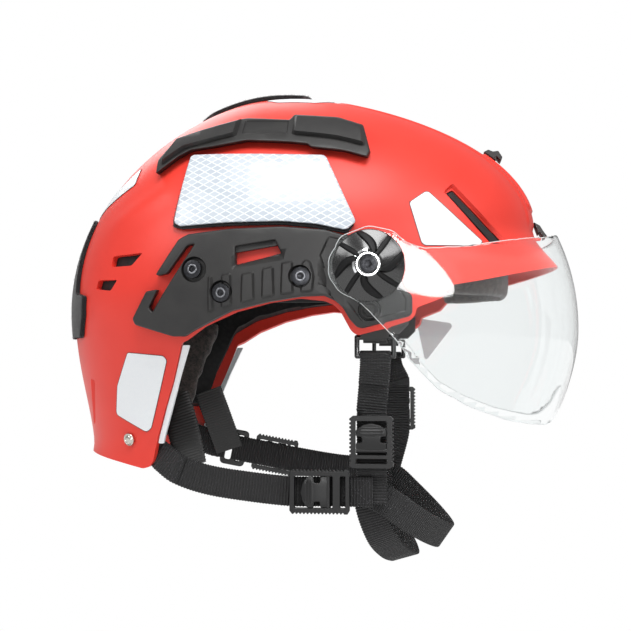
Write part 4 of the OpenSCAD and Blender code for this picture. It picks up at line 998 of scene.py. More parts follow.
# Moulded polycarbonate: clear and glossy, with the slight waves of its flow
clear, tree = new_material("clear_polycarbonate_moulded")
path = add(tree, "LightPath", {}, {})
where = add(tree, "TexCoord", {}, {})
waves = add(tree, "TexNoise", {}, {"Vector": where.outputs["Object"], "Scale": 1000 / 60, "Detail": 1.0})
flow = add(tree, "Bump", {}, {"Height": waves.outputs["Fac"], "Strength": 0.05, "Distance": 0.002})
glass = add(tree, "BsdfPrincipled", {},
            {"Base Color": colour("fbfdfd"), "Roughness": 0.03, "IOR": 1.45, "Transmission Weight": 1.0,
             "Normal": flow.outputs["Normal"]})
open_way = add(tree, "BsdfTransparent", {}, {"Color": colour("f4f6f6")})
both_ways = add(tree, "MixShader", {},
                {0: path.outputs["Is Shadow Ray"], 1: glass.outputs[0], 2: open_way.outputs[0]})
add(tree, "OutputMaterial", {}, {"Surface": both_ways.outputs[0]})

# The rim is cut and finely ground, so that it scatters light and shows as a bright line on dark pieces
ground, tree = new_material("ground_polycarbonate_rim")
where = add(tree, "TexCoord", {}, {})
grit = add(tree, "TexNoise", {}, {"Vector": where.outputs["Object"], "Scale": 1000 / 0.5, "Detail": 2.0})
frost = add(tree, "Bump", {}, {"Height": grit.outputs["Fac"], "Strength": 0.2, "Distance": 0.0001})
rim = add(tree, "BsdfPrincipled", {}, {"Base Color": colour("eef3f3"), "Roughness": 0.35, "IOR": 1.45,
                                       "Transmission Weight": 0.3, "Normal": frost.outputs["Normal"]})
add(tree, "OutputMaterial", {}, {"Surface": rim.outputs[0]})
visor = piece("visor_bowl", bm, [clear, ground], body="visor",
              replaces=["visor"], smooth=40)
modifier(visor, "SOLIDIFY", thickness=visor_t / 1000, offset=-1, use_even_offset=False,
         material_offset_rim=1)
break_edges(visor, 0.5, 50, material=1, use_clamp_overlap=False)

# Visor film
# A grey tinted film patch on the visor's left outer face.


def on_visor(u, h, v):
    """Places at height h over the visor's face, seen from the side."""
    reach, wide = visor_spans(v)
    share = 1 - (np.maximum(u - pivot_at[0], 0) / reach) ** visor_n
    base = np.stack([u, -wide * share ** (1 / visor_n), v], 1)
    return base + h[:, None] * visor_out(base)


# Tinted polyester film: a thin grey veil that shows what lies behind it
grey_film, tree = new_material("tinted_polyester_film_grey")
where = add(tree, "TexCoord", {}, {})
cloud = add(tree, "TexNoise", {}, {"Vector": where.outputs["Object"], "Scale": 1000 / 12})
tint = add(tree, "ValToRGB", {"stops": [(0.0, "c2babd"), (1.0, "cec7ca")]}, {"Fac": cloud.outputs["Fac"]})
body = add(tree, "BsdfPrincipled", {},
           {"Base Color": tint.outputs["Color"], "Roughness": 0.35, "Alpha": 0.58})
add(tree, "OutputMaterial", {}, {"Surface": body.outputs[0]})
film_outline = rounded([(72.5, -11), (75.5, -9), (98, -12.5), (99.5, -15), (80.5, -39.5), (78.5, -39.5)],
                       1.2, 3)
bm = other_side(relief(on_visor, film_outline, 0.1, 0.45, step=3))
piece("visor_film_patch", bm, grey_film, body="visor", replaces=["visor_film"])

# Tension knobs
# The visor's tension knobs: black moulded nylon with a polished conical face, four curved blades and
# four straight bars between its scoops, and a bright ring pressed in round the pivot screw.
knob_face, knob_r, hub_r = 116.298, 20.5, 7.4
# Polished nylon: near black, with broad soft highlights
gloss, tree = new_material("polished_nylon_black")
where = add(tree, "TexCoord", {}, {})
fine = add(tree, "TexNoise", {}, {"Vector": where.outputs["Object"], "Scale": 1000 / 0.5, "Detail": 3.0})
fine_bump = add(tree, "Bump", {}, {"Height": fine.outputs["Fac"], "Strength": 0.1, "Distance": 0.0002})
rough = add(tree, "MapRange", {}, {"Value": fine.outputs["Fac"], "To Min": 0.2, "To Max": 0.34})
body = add(tree, "BsdfPrincipled", {}, {"Base Color": colour("0a0a0b"), "Roughness": rough.outputs["Result"],
                                        "IOR": 1.6, "Coat Weight": 0.6, "Coat Roughness": 0.14,
                                        "Coat IOR": 1.6, "Normal": fine_bump.outputs["Normal"]})
add(tree, "OutputMaterial", {}, {"Surface": body.outputs[0]})
# The ribs are left as moulded, and look matt and deep black beside the polished scoops
matt, tree = new_material("moulded_nylon_black_matt")
where = add(tree, "TexCoord", {}, {})
grit = add(tree, "TexNoise", {}, {"Vector": where.outputs["Object"], "Scale": 1000 / 0.6, "Detail": 3.0})
grit_bump = add(tree, "Bump", {}, {"Height": grit.outputs["Fac"], "Strength": 0.2, "Distance": 0.0002})
rough = add(tree, "MapRange", {}, {"Value": grit.outputs["Fac"], "To Min": 0.45, "To Max": 0.6})
body = add(tree, "BsdfPrincipled", {}, {"Base Color": colour("0a0a0b"), "Roughness": rough.outputs["Result"],
                                        "Specular IOR Level": 0.3, "Normal": grit_bump.outputs["Normal"]})
add(tree, "OutputMaterial", {}, {"Surface": body.outputs[0]})
# Chrome on brass: a bright mirror with a slight haze, for the pressed ring and for the painted highlight
# arcs
chrome_and_glint, tree = new_material("chromed_brass_ring_and_painted_glints")
where = add(tree, "TexCoord", {}, {})
haze = add(tree, "TexNoise", {}, {"Vector": where.outputs["Object"], "Scale": 1000 / 2})
rough = add(tree, "MapRange", {}, {"Value": haze.outputs["Fac"], "To Min": 0.1, "To Max": 0.22})
body = add(tree, "BsdfPrincipled", {},
           {"Base Color": colour("f2f3f5"), "Metallic": 1.0, "Roughness": rough.outputs["Result"]})
add(tree, "OutputMaterial", {}, {"Surface": body.outputs[0]})


def cone_height(r):
    """Height of the scooped face between the hub and the rim."""
    return np.interp(r, [7.6, 12, 16, 19.6, 20.3], [9.3, 6.9, 4.5, 2.6, 2.2])


collar = [(5.3, 7.6), (5.3, 9.6), (5.6, 9.9), (7.1, 9.9), (7.6, 9.5), (7.9, 9.1)]
scoop = [(r, cone_height(r)) for r in (9.5, 12, 14, 16, 18)]
knob_edge = [(19.6, 2.6), (20.1, 2.4), (20.4, 2.1), (20.5, 1.7), (20.5, 0.5), (20.2, 0)]
knob = turned(collar + scoop + knob_edge + [(3.4, 0), (3.4, 7.6), (5.3, 7.6)], 96)


def rib(start, sweep, wide, rise, bow):
    """One rib of the knob's face from the hub's collar to the rim, with a flat crest and sloped sides."""
    bm = bmesh.new()
    bmesh.ops.create_grid(bm, x_segments=18, y_segments=5, size=0.5)
    upper = set(extruded(bm))
    top = np.array([v in upper for v in bm.verts])
    p = coordinates(bm)
    s, t = p[:, 0] + 0.5, p[:, 1] * 2
    r = hub_r + s * (knob_r - 0.35 - hub_r)
    turn = math.radians(start) - math.radians(sweep) * (1 - s) ** 1.2
    half = wide / 2 * (0.55 + bow * np.sin(math.pi * np.clip(s, 0, 1)))
    crest = np.interp(np.abs(t), [0, 0.55, 1], [1, 1, 0])
    fade = np.interp(s, [0, 0.85, 1], [1.15, 1, 0.55])
    h = cone_height(r) + np.where(top, rise * crest * fade, -1.2)
    side = t * half
    cos, sin = np.cos(turn), np.sin(turn)
    move_to(bm, np.stack([r * cos - side * sin, r * sin + side * cos, h], 1))
    bmesh.ops.recalc_face_normals(bm, faces=bm.faces)
    for f in bm.faces:
        f.material_index = 2
    return bm


for blade_turn in (107, 18, -70, -162):
    joined(knob, rib(blade_turn, sweep=42, wide=5.6, rise=1.9, bow=0.6))
for bar_turn in (54, -36, -130, 143):
    joined(knob, rib(bar_turn, sweep=5, wide=5.0, rise=1.6, bow=0.1))
bright = turned([(5.5, 9.8), (5.6, 10.5), (5.9, 10.8), (6.6, 10.8), (6.9, 10.5), (7.0, 9.8), (5.5, 9.8)], 72)
for f in bright.faces:
    f.material_index = 1
knob = joined(knob, bright)
# Two chrome arcs round the hub's collar are painted highlights, where the collar catches the light
arc_angle = 58
for arc_end in (150, 215):
    arc = bmesh.new()
    line = [arc.verts.new((r, 0, h)) for r, h in ((hub_r, 9.6), (7.6, 10.1), (8.9, 9.6), (9.2, 8.6))]
    edges = [arc.edges.new(q) for q in zip(line, line[1:])]
    bmesh.ops.spin(arc, geom=[*line, *edges], cent=(0, 0, 0), axis=(0, 0, 1),
                   angle=math.radians(arc_angle), steps=20)
    arc_turn = Matrix.Rotation(math.radians(arc_end - arc_angle), 3, "Z")
    bmesh.ops.rotate(arc, cent=(0, 0, 0), matrix=arc_turn, verts=arc.verts)
    bmesh.ops.solidify(arc, geom=list(arc.faces), thickness=0.3)
    bmesh.ops.recalc_face_normals(arc, faces=arc.faces)
    for f in arc.faces:
        f.material_index = 1
    joined(knob, arc)
outwards = Matrix(((1, 0, 0, 0), (0, 0, -1, 0), (0, 1, 0, 0), (0, 0, 0, 1)))
knob_seat = Matrix.Translation((pivot_at[0], -knob_face, pivot_at[1])) @ outwards
bmesh.ops.transform(knob, verts=knob.verts, matrix=knob_seat)
for side, bm in (("right", knob), ("left", other_side(knob))):
    piece(f"tension_knob_{side}", bm, [gloss, chrome_and_glint, matt], body=f"knob_{side}",
          replaces=[f"knob_{side}"], smooth=30)

# Straps
# Black polyester webbing, 18 mm wide and 1.6 mm thick, woven with cross ribs. Each strap follows its
# route through given places, each with the direction of the strap's width there.
web_w, web_t, rib_rise = 18.0, 1.6, 0.16
# Woven polyester: black yarns, with painted highlights on the cross ribs and painted shade in the hollows
# between them
woven, tree = new_material("woven_polyester_webbing_black")
where = add(tree, "TexCoord", {}, {})
axes = add(tree, "SeparateXYZ", {}, {"Vector": where.outputs["UV"]})
web_pitch, yarn_pitch = 1.8, 0.9
swell = []
for axis, pitch in (("X", web_pitch), ("Y", yarn_pitch)):
    phase = add(tree, "Math", {"operation": "MULTIPLY"}, {0: axes.outputs[axis], 1: math.tau / pitch})
    swell.append(add(tree, "Math", {"operation": "SINE"}, {0: phase.outputs[0]}))
cross_rib, lengthwise = swell
yarn = add(tree, "TexNoise", {}, {"Vector": where.outputs["Object"], "Scale": 1000 / 0.6, "Detail": 4.0})
weave = add(tree, "Math", {"operation": "MULTIPLY_ADD"},
            {0: lengthwise.outputs[0], 1: 0.35, 2: cross_rib.outputs[0]})
height = add(tree, "Math", {"operation": "MULTIPLY_ADD"},
             {0: yarn.outputs["Fac"], 1: 0.8, 2: weave.outputs[0]})
# The colour follows the height of the weave and its yarns: lighter on the crests as painted highlights,
# darker in the hollows as painted shade
tint = add(tree, "MapRange", {}, {"Value": height.outputs[0], "From Min": -1.0, "From Max": 1.8})
shade = add(tree, "ValToRGB", {"stops": [(0.0, "050506"), (1.0, "1d1c1e")]}, {"Fac": tint.outputs["Result"]})
relief_bump = add(tree, "Bump", {}, {"Height": height.outputs[0], "Strength": 0.9, "Distance": 0.0002})
body = add(tree, "BsdfPrincipled", {},
           {"Base Color": shade.outputs["Color"], "Roughness": 0.6, "Sheen Weight": 0.12,
            "Specular IOR Level": 0.45, "Normal": relief_bump.outputs["Normal"]})
add(tree, "OutputMaterial", {}, {"Surface": body.outputs[0]})
# Bonded nylon thread: dark grey, finely twisted and a little shiny
sewn, tree = new_material("bonded_nylon_thread_black")
where = add(tree, "TexCoord", {}, {})
twist = add(tree, "TexNoise", {}, {"Vector": where.outputs["Object"], "Scale": 1000 / 0.4})
tint = add(tree, "ValToRGB", {"stops": [(0.0, "222124"), (1.0, "38373a")]}, {"Fac": twist.outputs["Fac"]})
body = add(tree, "BsdfPrincipled", {}, {"Base Color": tint.outputs["Color"], "Roughness": 0.45})
add(tree, "OutputMaterial", {}, {"Surface": body.outputs[0]})


def between(even, length, values):
    """Values along a strap, read off between its places."""
    return np.stack([np.interp(even, length, values[:, a]) for a in range(3)], 1)


def route_frame(route, fine=12):
    """Places, width and outward directions and lengths along a route, four to each rib of the weave."""
    n = (len(route) - 1) * fine
    k = np.arange(n + 1)
    span = np.minimum(k // fine, len(route) - 2)
    s = np.where(k == n, 1.0, k / fine % 1)[:, None]

    def curve(values):
        a, b, c = values[np.maximum(span - 1, 0)], values[span], values[span + 1]
        d = values[np.minimum(span + 2, len(route) - 1)]
        return 0.5 * (2 * b + (c - a) * s + (2 * a - 5 * b + 4 * c - d) * s**2
                      + (3 * b - a - 3 * c + d) * s**3)

    def unit(v):
        return v / np.linalg.norm(v, axis=1)[:, None]

    at = curve(np.array([r[0] for r in route], float))
    side = curve(unit(np.array([r[1] for r in route], float)))
    along = unit(at[np.minimum(k + 1, n)] - at[np.maximum(k - 1, 0)])
    across = unit(side - np.sum(side * along, 1)[:, None] * along)
    length = np.concatenate([[0], np.cumsum(np.linalg.norm(np.diff(at, axis=0), axis=1))])
    even = np.linspace(0, length[-1], int(length[-1] / web_pitch * 4) + 1)
    at, across, along = [between(even, length, value) for value in (at, across, along)]
    across, along = unit(across), unit(along)
    return at, across, np.cross(along, across), even


def strap(route, sewing=(), wide=web_w, thick=web_t, face=1):
    """Webbing along a route, its UV in millimetres. Sewn lines join (along, across) places."""
    at, across, out, length = route_frame(route)
    r, flat = thick / 2, wide / 2 - thick / 2
    bend = np.linspace(-math.pi / 2, math.pi / 2, 6)
    v = np.concatenate([np.linspace(-flat, flat, 7), flat + r * np.cos(bend[::-1])[1:-1],
                        np.linspace(flat, -flat, 7), -flat - r * np.cos(bend)[1:-1], [-flat]])
    h = np.concatenate([np.full(7, r), r * np.sin(bend[::-1])[1:-1], np.full(7, -r),
                        r * np.sin(bend)[1:-1], [r]])
    bm = bmesh.new()
    n, m = len(at) - 1, len(v) - 1
    bmesh.ops.create_grid(bm, x_segments=n, y_segments=m, size=0.5)
    p = coordinates(bm)
    i, j = np.rint((p[:, 0] + 0.5) * n).astype(int), np.rint((p[:, 1] + 0.5) * m).astype(int)
    full = 1 + rib_rise * np.sin(length[i] * math.tau / web_pitch)
    reach = v[j] + np.sign(v[j]) * (np.abs(v[j]) > flat) * 0.2 * (full - 1) / rib_rise
    move_to(bm, at[i] + reach[:, None] * across[i] + (h[j] * full)[:, None] * out[i])
    uv = bm.loops.layers.uv.new("woven")
    for f in bm.faces:
        for loop in f.loops:
            k = loop.vert.index
            loop[uv].uv = (length[i[k]], v[j[k]])
    bmesh.ops.remove_doubles(bm, verts=bm.verts, dist=1e-3)
    bmesh.ops.holes_fill(bm, edges=[e for e in bm.edges if e.is_boundary], sides=0)
    bmesh.ops.recalc_face_normals(bm, faces=bm.faces)
    starts, ends = [], []
    for a, b in sewing:
        a, b = np.array(a, float), np.array(b, float)
        count = max(int(np.linalg.norm(b - a) / 2.4), 1)
        cuts = np.linspace(0, 1, count + 1)
        starts += [a + (b - a) * (c + 0.1 / count) for c in cuts[:-1]]
        ends += [a + (b - a) * (c - 0.1 / count) for c in cuts[1:]]
    if not starts:
        return bm

    def on_face(q):
        q = np.array(q)
        q[:, 0] = np.where(q[:, 0] < 0, length[-1] + q[:, 0], q[:, 0])
        spot, beside, up = [between(q[:, 0], length, value) for value in (at, across, out)]
        return spot + q[:, 1:] * beside + face * (r + 0.02) * up, face * up

    (first, up), (last, _) = on_face(starts), on_face(ends)
    thread = bmesh.new()
    bmesh.ops.create_icosphere(thread, subdivisions=1, radius=1)
    which = copies(thread, len(starts))
    q = coordinates(thread)
    half = (last - first) / 2
    beside = np.cross(half, up)
    beside /= np.linalg.norm(beside, axis=1)[:, None]
    move_to(thread, ((first + last) / 2)[which] + q[:, :1] * half[which] * 1.02
            + q[:, 1:2] * 0.33 * beside[which] + q[:, 2:] * 0.3 * up[which])
    for f in thread.faces:
        f.material_index = 1
        f.smooth = True
    return joined(bm, thread)


def box_stitch(low, high, half):
    """A sewn box with a cross in it, between two places along the strap."""
    a, b, c, d = (low, -half), (high, -half), (high, half), (low, half)
    return [(a, b), (b, c), (c, d), (d, a), (a, c), (b, d)]


def fold(route, start, end, lift):
    """A short turned-back end of webbing that lies sewn on a strap, between two lengths along it."""
    at, across, out, length = route_frame(route)
    k = [int(np.argmin(np.abs(length - u))) for u in np.linspace(start, end, 6)]
    back = [(at[i] + lift * out[i] * (0.55 if i in (k[0], k[-1]) else 1), across[i]) for i in k]
    return strap(back, box_stitch(1.5, end - start - 1.5, 6.8), wide=web_w - 0.6)


forward, upward = (1, 0, 0), (0, 0, 1)
strap_y, join_y, layer_step = 76.6, 74.2, 2.0
ring_wire, gap = 3.0, 0.3
ring_at, ring_bar = np.array([52.5, -90.4, -32]), np.array([10.75, 5.5])
bar_turn = ring_wire / 2 + gap + web_t / 2
front_buckle_at, front_buckle_left_at = (49.5, -88.5), (59, -75)


def front_strap(buckle):
    """From the sewn tail over the ring's lower bar and down to the joint."""
    bar = ring_at - (0, 0, ring_bar[1])

    def main(z):
        share = (bar[2] - 5 - z) / (bar[2] - 5 - buckle[1] - 20)
        drop = (z - buckle[1] - 18) / (bar[2] - buckle[1] - 18)
        return bar[0] + (buckle[0] - bar[0]) * share, -strap_y + (strap_y + ring_at[1] + bar_turn) * drop

    route = [((main(z)[0], main(z)[1] - out, z), forward) for z, out in ((-54, 2.3), (-48, 2.9), (-42, 5.2))]
    route += [(bar + bar_turn * np.array([0, math.cos(a), math.sin(a)]), forward)
              for a in np.radians([180, 135, 90, 45, 0])]
    route += [((*main(-46), -46), forward)]
    route += [((buckle[0], -strap_y, buckle[1] + d), forward) for d in (20, 16, 0, -16)]
    return route + [(((buckle[0] + 49.5) / 2, -join_y, -110), forward), ((49.5, -join_y, -126), forward)]


for side, buckle in (("right", front_buckle_at), ("left", front_buckle_left_at)):
    bm = strap(front_strap(buckle), [((u, -7.5), (u, 7.5)) for u in (1.6, 3.8, 6.0, 8.2)])
    bm = other_side(bm) if side == "left" else bm
    piece(f"front_webbing_{side}", bm, [woven, sewn],
          replaces=[f"front_strap_{side}"], smooth=60)

rear_y = join_y + layer_step
rear_buckle_at, rear_buckle_left_at = (18.5, -rear_y, -118.5), np.array([-30, -join_y - 0.3, -109.5])
rear_tilt, rear_yaw, anchor_deep = math.radians(11), math.radians(6), 6.0
anchor = []
for q in ((-107, -86), rivet_at, (-95, -92.5), (-88.5, -96)):
    base, n = side_spot(q)
    anchor.append((base - anchor_deep * n, np.cross(n, [0.85, -0.33, -0.42])))
rear_right = anchor + [
    ((-78, 8.6 - join_y, -101.5), (0.5, 0.1, 0.86)), ((-68, 4.2 - join_y, -107.5), (0.4, 0, 0.9)),
    ((-50, 1.2 - join_y, -112.7), (0.15, 0, 1)), ((-26, -join_y - 1.3, -116), (0.08, 0, 1))]
rear_right += [((x, -rear_y, -118.5), upward) for x in (0, 19, 38, 50)]
level = np.array([math.cos(rear_yaw), -math.sin(rear_yaw), 0])
left_run = math.cos(rear_tilt) * level - np.array([0, 0, math.sin(rear_tilt)])
left_across = math.sin(rear_tilt) * level + np.array([0, 0, math.cos(rear_tilt)])
rear_left_start = anchor + [(rear_buckle_left_at + d * left_run, left_across) for d in (-45, -41, -36.2)]
rear_left = [(rear_buckle_left_at + d * left_run, left_across) for d in (-31.2, -30, -16, 0, 16)]
rear_left += [((20, -rear_y, -117.8), (0.05, 0, 1)), ((50, -rear_y, -118.5), upward)]
sewing = box_stitch(16, 34, 6.8) + box_stitch(-17, -2, 6.8)
bm = joined(strap(rear_right, sewing), fold(rear_right, 26, 46, 1.75))
piece("rear_webbing_right", bm, [woven, sewn], replaces=["rear_strap_right"], smooth=60)
bm = other_side(joined(strap(rear_left_start, box_stitch(16, 34, 6.8)),
                       strap(rear_left, box_stitch(-17, -2, 6.8))))
piece("rear_webbing_left", bm, [woven, sewn], replaces=["rear_strap_left"], smooth=60)


# Laminated nylon has a smooth film on a fine cloth, so it is shinier than the webbing
laminate, tree = new_material("laminated_nylon_black")
where = add(tree, "TexCoord", {}, {})
cloth = add(tree, "TexNoise", {}, {"Vector": where.outputs["Object"], "Scale": 1000 / 1.5, "Detail": 4.0})
crease = add(tree, "TexNoise", {}, {"Vector": where.outputs["Object"], "Scale": 1000 / 16})
both = add(tree, "Math", {"operation": "MULTIPLY_ADD"},
           {0: crease.outputs["Fac"], 1: 3.0, 2: cloth.outputs["Fac"]})
bumps = add(tree, "Bump", {}, {"Height": both.outputs[0], "Strength": 0.3, "Distance": 0.0004})
tint = add(tree, "ValToRGB", {"stops": [(0.0, "0b0b0b"), (1.0, "1a1918")]}, {"Fac": cloth.outputs["Fac"]})
body = add(tree, "BsdfPrincipled", {},
           {"Base Color": tint.outputs["Color"], "Roughness": 0.42, "Normal": bumps.outputs["Normal"]})
add(tree, "OutputMaterial", {}, {"Surface": body.outputs[0]})


def hanger(side):
    """A smooth laminated tab, 20 mm wide, from the nape pad down to the strap's folded end."""
    route = [((-76, -56, -62), (0.97, 0, 0.22)), ((-71, -58, -76), (0.96, 0, 0.26)),
             ((-66, -62.5, -92), (0.95, 0, 0.3)), ((-62, -67.6, -105), (0.9, 0, 0.43))]
    bm = strap(route, wide=20, thick=1.4)
    bm = other_side(bm) if side == "left" else bm
    piece(f"nape_hanger_{side}", bm, laminate, smooth=60)


for side in ("right", "left"):
    hanger(side)


def mirrored(route):
    return [((p[0], -p[1], p[2]), (d[0], -d[1], d[2])) for p, d in reversed(route)]


chin_half = [((46, -join_y + layer_step + 0.3, -118.5), (0.1, 0, 1)),
             ((58, 4.4 - join_y, -124.5), (0.45, 0, 0.89)), ((69, -0.81 * join_y, -133.5), (0.58, 0.1, 0.8)),
             ((81, -0.58 * join_y, -143.5), (0.6, 0.1, 0.8)), ((90, -0.283 * join_y, -151), (0.58, 0, 0.82))]
under_half = [((46, -join_y + 2 * layer_step + 0.8, -119), (0.99, 0, 0.1)),
              ((49.5, -0.86 * join_y, -135), (0.97, 0, 0.22)),
              ((55, -0.728 * join_y, -150), (0.97, 0.05, 0.24)),
              ((61.5, -0.485 * join_y, -160.5), (0.97, 0.03, 0.26)),
              ((66, -0.216 * join_y, -166), (0.96, 0, 0.28))]
chin_route = chin_half + [((93.5, 0, -154), (0.57, 0, 0.82))] + mirrored(chin_half)
bm = strap(chin_route, box_stitch(14, 27, 6.5) + box_stitch(-27, -14, 6.5))
piece("chin_webbing", bm, [woven, sewn], replaces=["chin_strap"], smooth=60)
bm = strap(under_half + [((67.5, 0, -168), (0.96, 0, 0.28))] + mirrored(under_half), face=-1)
piece("under_chin_webbing", bm, [woven, sewn], replaces=["under_chin_strap"], smooth=60)

# Buckles
# Cam buckles in black acetal: a frame with serrated sides that lies on the strap, and an arched lever
# that clamps the webbing. The levers turn on pins in the frame's cheeks.

# Moulded acetal: black, smooth and waxy, with a satin shine
acetal, tree = new_material("moulded_acetal_black")
where = add(tree, "TexCoord", {}, {})
fine = add(tree, "TexNoise", {}, {"Vector": where.outputs["Object"], "Scale": 1000 / 0.9, "Detail": 3.0})
fine_bump = add(tree, "Bump", {}, {"Height": fine.outputs["Fac"], "Strength": 0.15, "Distance": 0.0002})
rough = add(tree, "MapRange", {}, {"Value": fine.outputs["Fac"], "To Min": 0.3, "To Max": 0.45})
body = add(tree, "BsdfPrincipled", {}, {"Base Color": colour("0f0f10"), "Roughness": rough.outputs["Result"],
                                        "Normal": fine_bump.outputs["Normal"]})
add(tree, "OutputMaterial", {}, {"Surface": body.outputs[0]})
buckle_t, cheek = 4.0, 3.6
window_w = web_w + 1
frame_w = window_w + 2 * cheek
lever_w = window_w - 2 * gap
lever_pin_z, cam_r = -5.0, 1.8


def plate(outline, holes, low, high):
    """A flat plate with holes, drawn as (x, z), whose height points to -y."""
    bm = bmesh.new()
    for loop in (outline, *holes):
        line = [bm.verts.new((x, -low, z)) for x, z in loop]
        for a, b in zip(line, line[1:] + line[:1]):
            bm.edges.new((a, b))
    bmesh.ops.triangle_fill(bm, use_beauty=True, edges=list(bm.edges))
    bmesh.ops.translate(bm, vec=(0, low - high, 0), verts=extruded(bm))
    bmesh.ops.recalc_face_normals(bm, faces=bm.faces)
    bmesh.ops.dissolve_limit(bm, angle_limit=0.01, verts=bm.verts, edges=bm.edges)
    return bm


def rectangle(x, low, high, radius=0.8):
    return rounded([(-x, low), (x, low), (x, high), (-x, high)], radius, 3)


def buckle_frame(long):
    """The frame, with teeth along both cheeks, the lever's window and the strap's slot."""
    edge = frame_w / 2
    teeth, count = [], int((long - 5) / 2.2)
    for k in range(count + 1):
        z = -long / 2 + 2.5 + (long - 5) * k / count
        teeth += [(edge, z), (edge, z + 0.9)]
        if k < count:
            teeth += [(edge - 0.9, z + 1.1), (edge - 0.9, z + 1.9)]
    right_side = [(edge - 2, -long / 2), (edge, -long / 2 + 1.2)] + teeth + [(edge - 2, long / 2)]
    outline = right_side + [(-x, z) for x, z in reversed(right_side)]
    holes = [rectangle(window_w / 2, lever_pin_z - cam_r - 1, long / 2 - 3),
             rectangle(window_w / 2, -long / 2 + 2.6, -long / 2 + 5.6, 0.6)]
    low = web_t / 2 + gap
    return plate(outline, holes, low, low + buckle_t)


def buckle_lever():
    """The lever: an arched plate with a waist, a barrel along its pin and three grip ribs at its tip."""
    half, lever_long = lever_w / 2, 16.3
    ribs_from, ribs_to, rib_pitch = 9.6, 14.6, 1.9
    side = [(half, 0), (half, 4.4), (half - 3.6, 4.8), (half - 3.6, 8), (half, 8.4), (half, 12.2),
            (half - 3.5, 15)]
    outline = rounded(side + [(0, lever_long)] + [(-x, z) for x, z in reversed(side)], 0.7, 2)
    low = web_t / 2 + gap + 1.2

    def arched(u, h, v):
        rise = 1.1 * np.sin(math.pi * np.clip(v / lever_long, 0, 1)) + 0.9 * np.clip((v - 9) / 6, 0, 1)
        rise = rise - 0.5 * (np.abs(u) / half) ** 4
        ribbed = (np.abs(u) < half - 2) * ((v > ribs_from) & (v < ribs_to))
        ribs = 0.35 * ribbed * np.clip(np.sin((v - ribs_from) * math.tau / rib_pitch) * 3, -0.2, 1)
        top = h > 1.7
        return np.stack([u, -(low + h + np.where(top, rise + ribs, rise * 0.6)), v + lever_pin_z], 1)

    bm = relief(arched, outline, 0.0, 2.6, edge=0.6, step=0.95)
    barrel = bmesh.new()
    bmesh.ops.create_cone(barrel, cap_ends=True, segments=28, radius1=cam_r, radius2=cam_r, depth=lever_w)
    pin = Matrix.Translation((0, -(web_t / 2 + gap + buckle_t / 2), lever_pin_z))
    bmesh.ops.transform(barrel, matrix=pin @ Matrix.Rotation(math.radians(90), 4, "Y"), verts=barrel.verts)
    return joined(bm, barrel)


rear_left_seat = Matrix.Translation(tuple(rear_buckle_left_at)) @ Matrix.Rotation(-rear_yaw, 4, "Z")
rear_left_seat = rear_left_seat @ Matrix.Rotation(rear_tilt - math.pi / 2, 4, "Y")
seats = {
    "front_{}_right": (Matrix.Translation((front_buckle_at[0], -strap_y, front_buckle_at[1])), 31),
    "front_{}_left": (Matrix.Translation((front_buckle_left_at[0], -strap_y, front_buckle_left_at[1])), 31),
    "rear_{}_right": (Matrix.Translation(rear_buckle_at) @ Matrix.Rotation(-math.pi / 2, 4, "Y"), 36),
    "rear_{}_left": (rear_left_seat, 31),
}
for name, (seat, long) in seats.items():
    for part, bm in (("buckle", buckle_frame(long)), ("lever", buckle_lever())):
        bmesh.ops.transform(bm, matrix=seat, verts=bm.verts)
        bm = other_side(bm) if name.endswith("left") else bm
        node = name.format(part)
        made = piece(node + "_moulding", bm, acetal, body="helmet" if part == "buckle" else node,
                     replaces=[node], smooth=38)
        if part == "buckle":
            break_edges(made, 0.4, 40)

# Triglide
# The slider on the left rear strap: an acetal plate with two slots and round corners.
holes = [rectangle(window_w / 2, -6, -1.5, 1.4), rectangle(window_w / 2, 1.5, 6, 1.4)]
bm = plate(rectangle(frame_w / 2, -9, 9, 3), holes, web_t / 2 + gap, web_t / 2 + gap + 3)
bmesh.ops.transform(bm, matrix=rear_left_seat @ Matrix.Translation((0, 0, 30)), verts=bm.verts)
slider = piece("triglide_moulding", other_side(bm), acetal,
               replaces=["triglide_left"], smooth=38)
break_edges(slider, 0.7, 40, segments=3)

# Strap rings and tabs
# Rectangular rings of black-coated steel wire, hung in nylon tabs inside the shell. The nodes keep
# their shape.

# Coated steel wire: a smooth black coat with small duller spots
coated, tree = new_material("coated_steel_wire_black")
where = add(tree, "TexCoord", {}, {})
chips = add(tree, "TexNoise", {}, {"Vector": where.outputs["Object"], "Scale": 1000 / 2.5, "Detail": 5.0})
rough = add(tree, "MapRange", {}, {"Value": chips.outputs["Fac"], "To Min": 0.22, "To Max": 0.4})
body = add(tree, "BsdfPrincipled", {}, {"Base Color": colour("101012"), "Roughness": rough.outputs["Result"],
                                        "Coat Weight": 0.5})
add(tree, "OutputMaterial", {}, {"Surface": body.outputs[0]})
for side in ("right", "left"):
    soften(f"strap_ring_{side}", coated, 0.3)
    soften(f"strap_tab_{side}", nylon, 0.5)

# Pads
# Comfort pads of brown-black needled felt over soft foam, held to the liner by hook tape: brow, crown,
# two sides and two at the nape. Each is swelled by a short cloth simulation from its CAD solid.

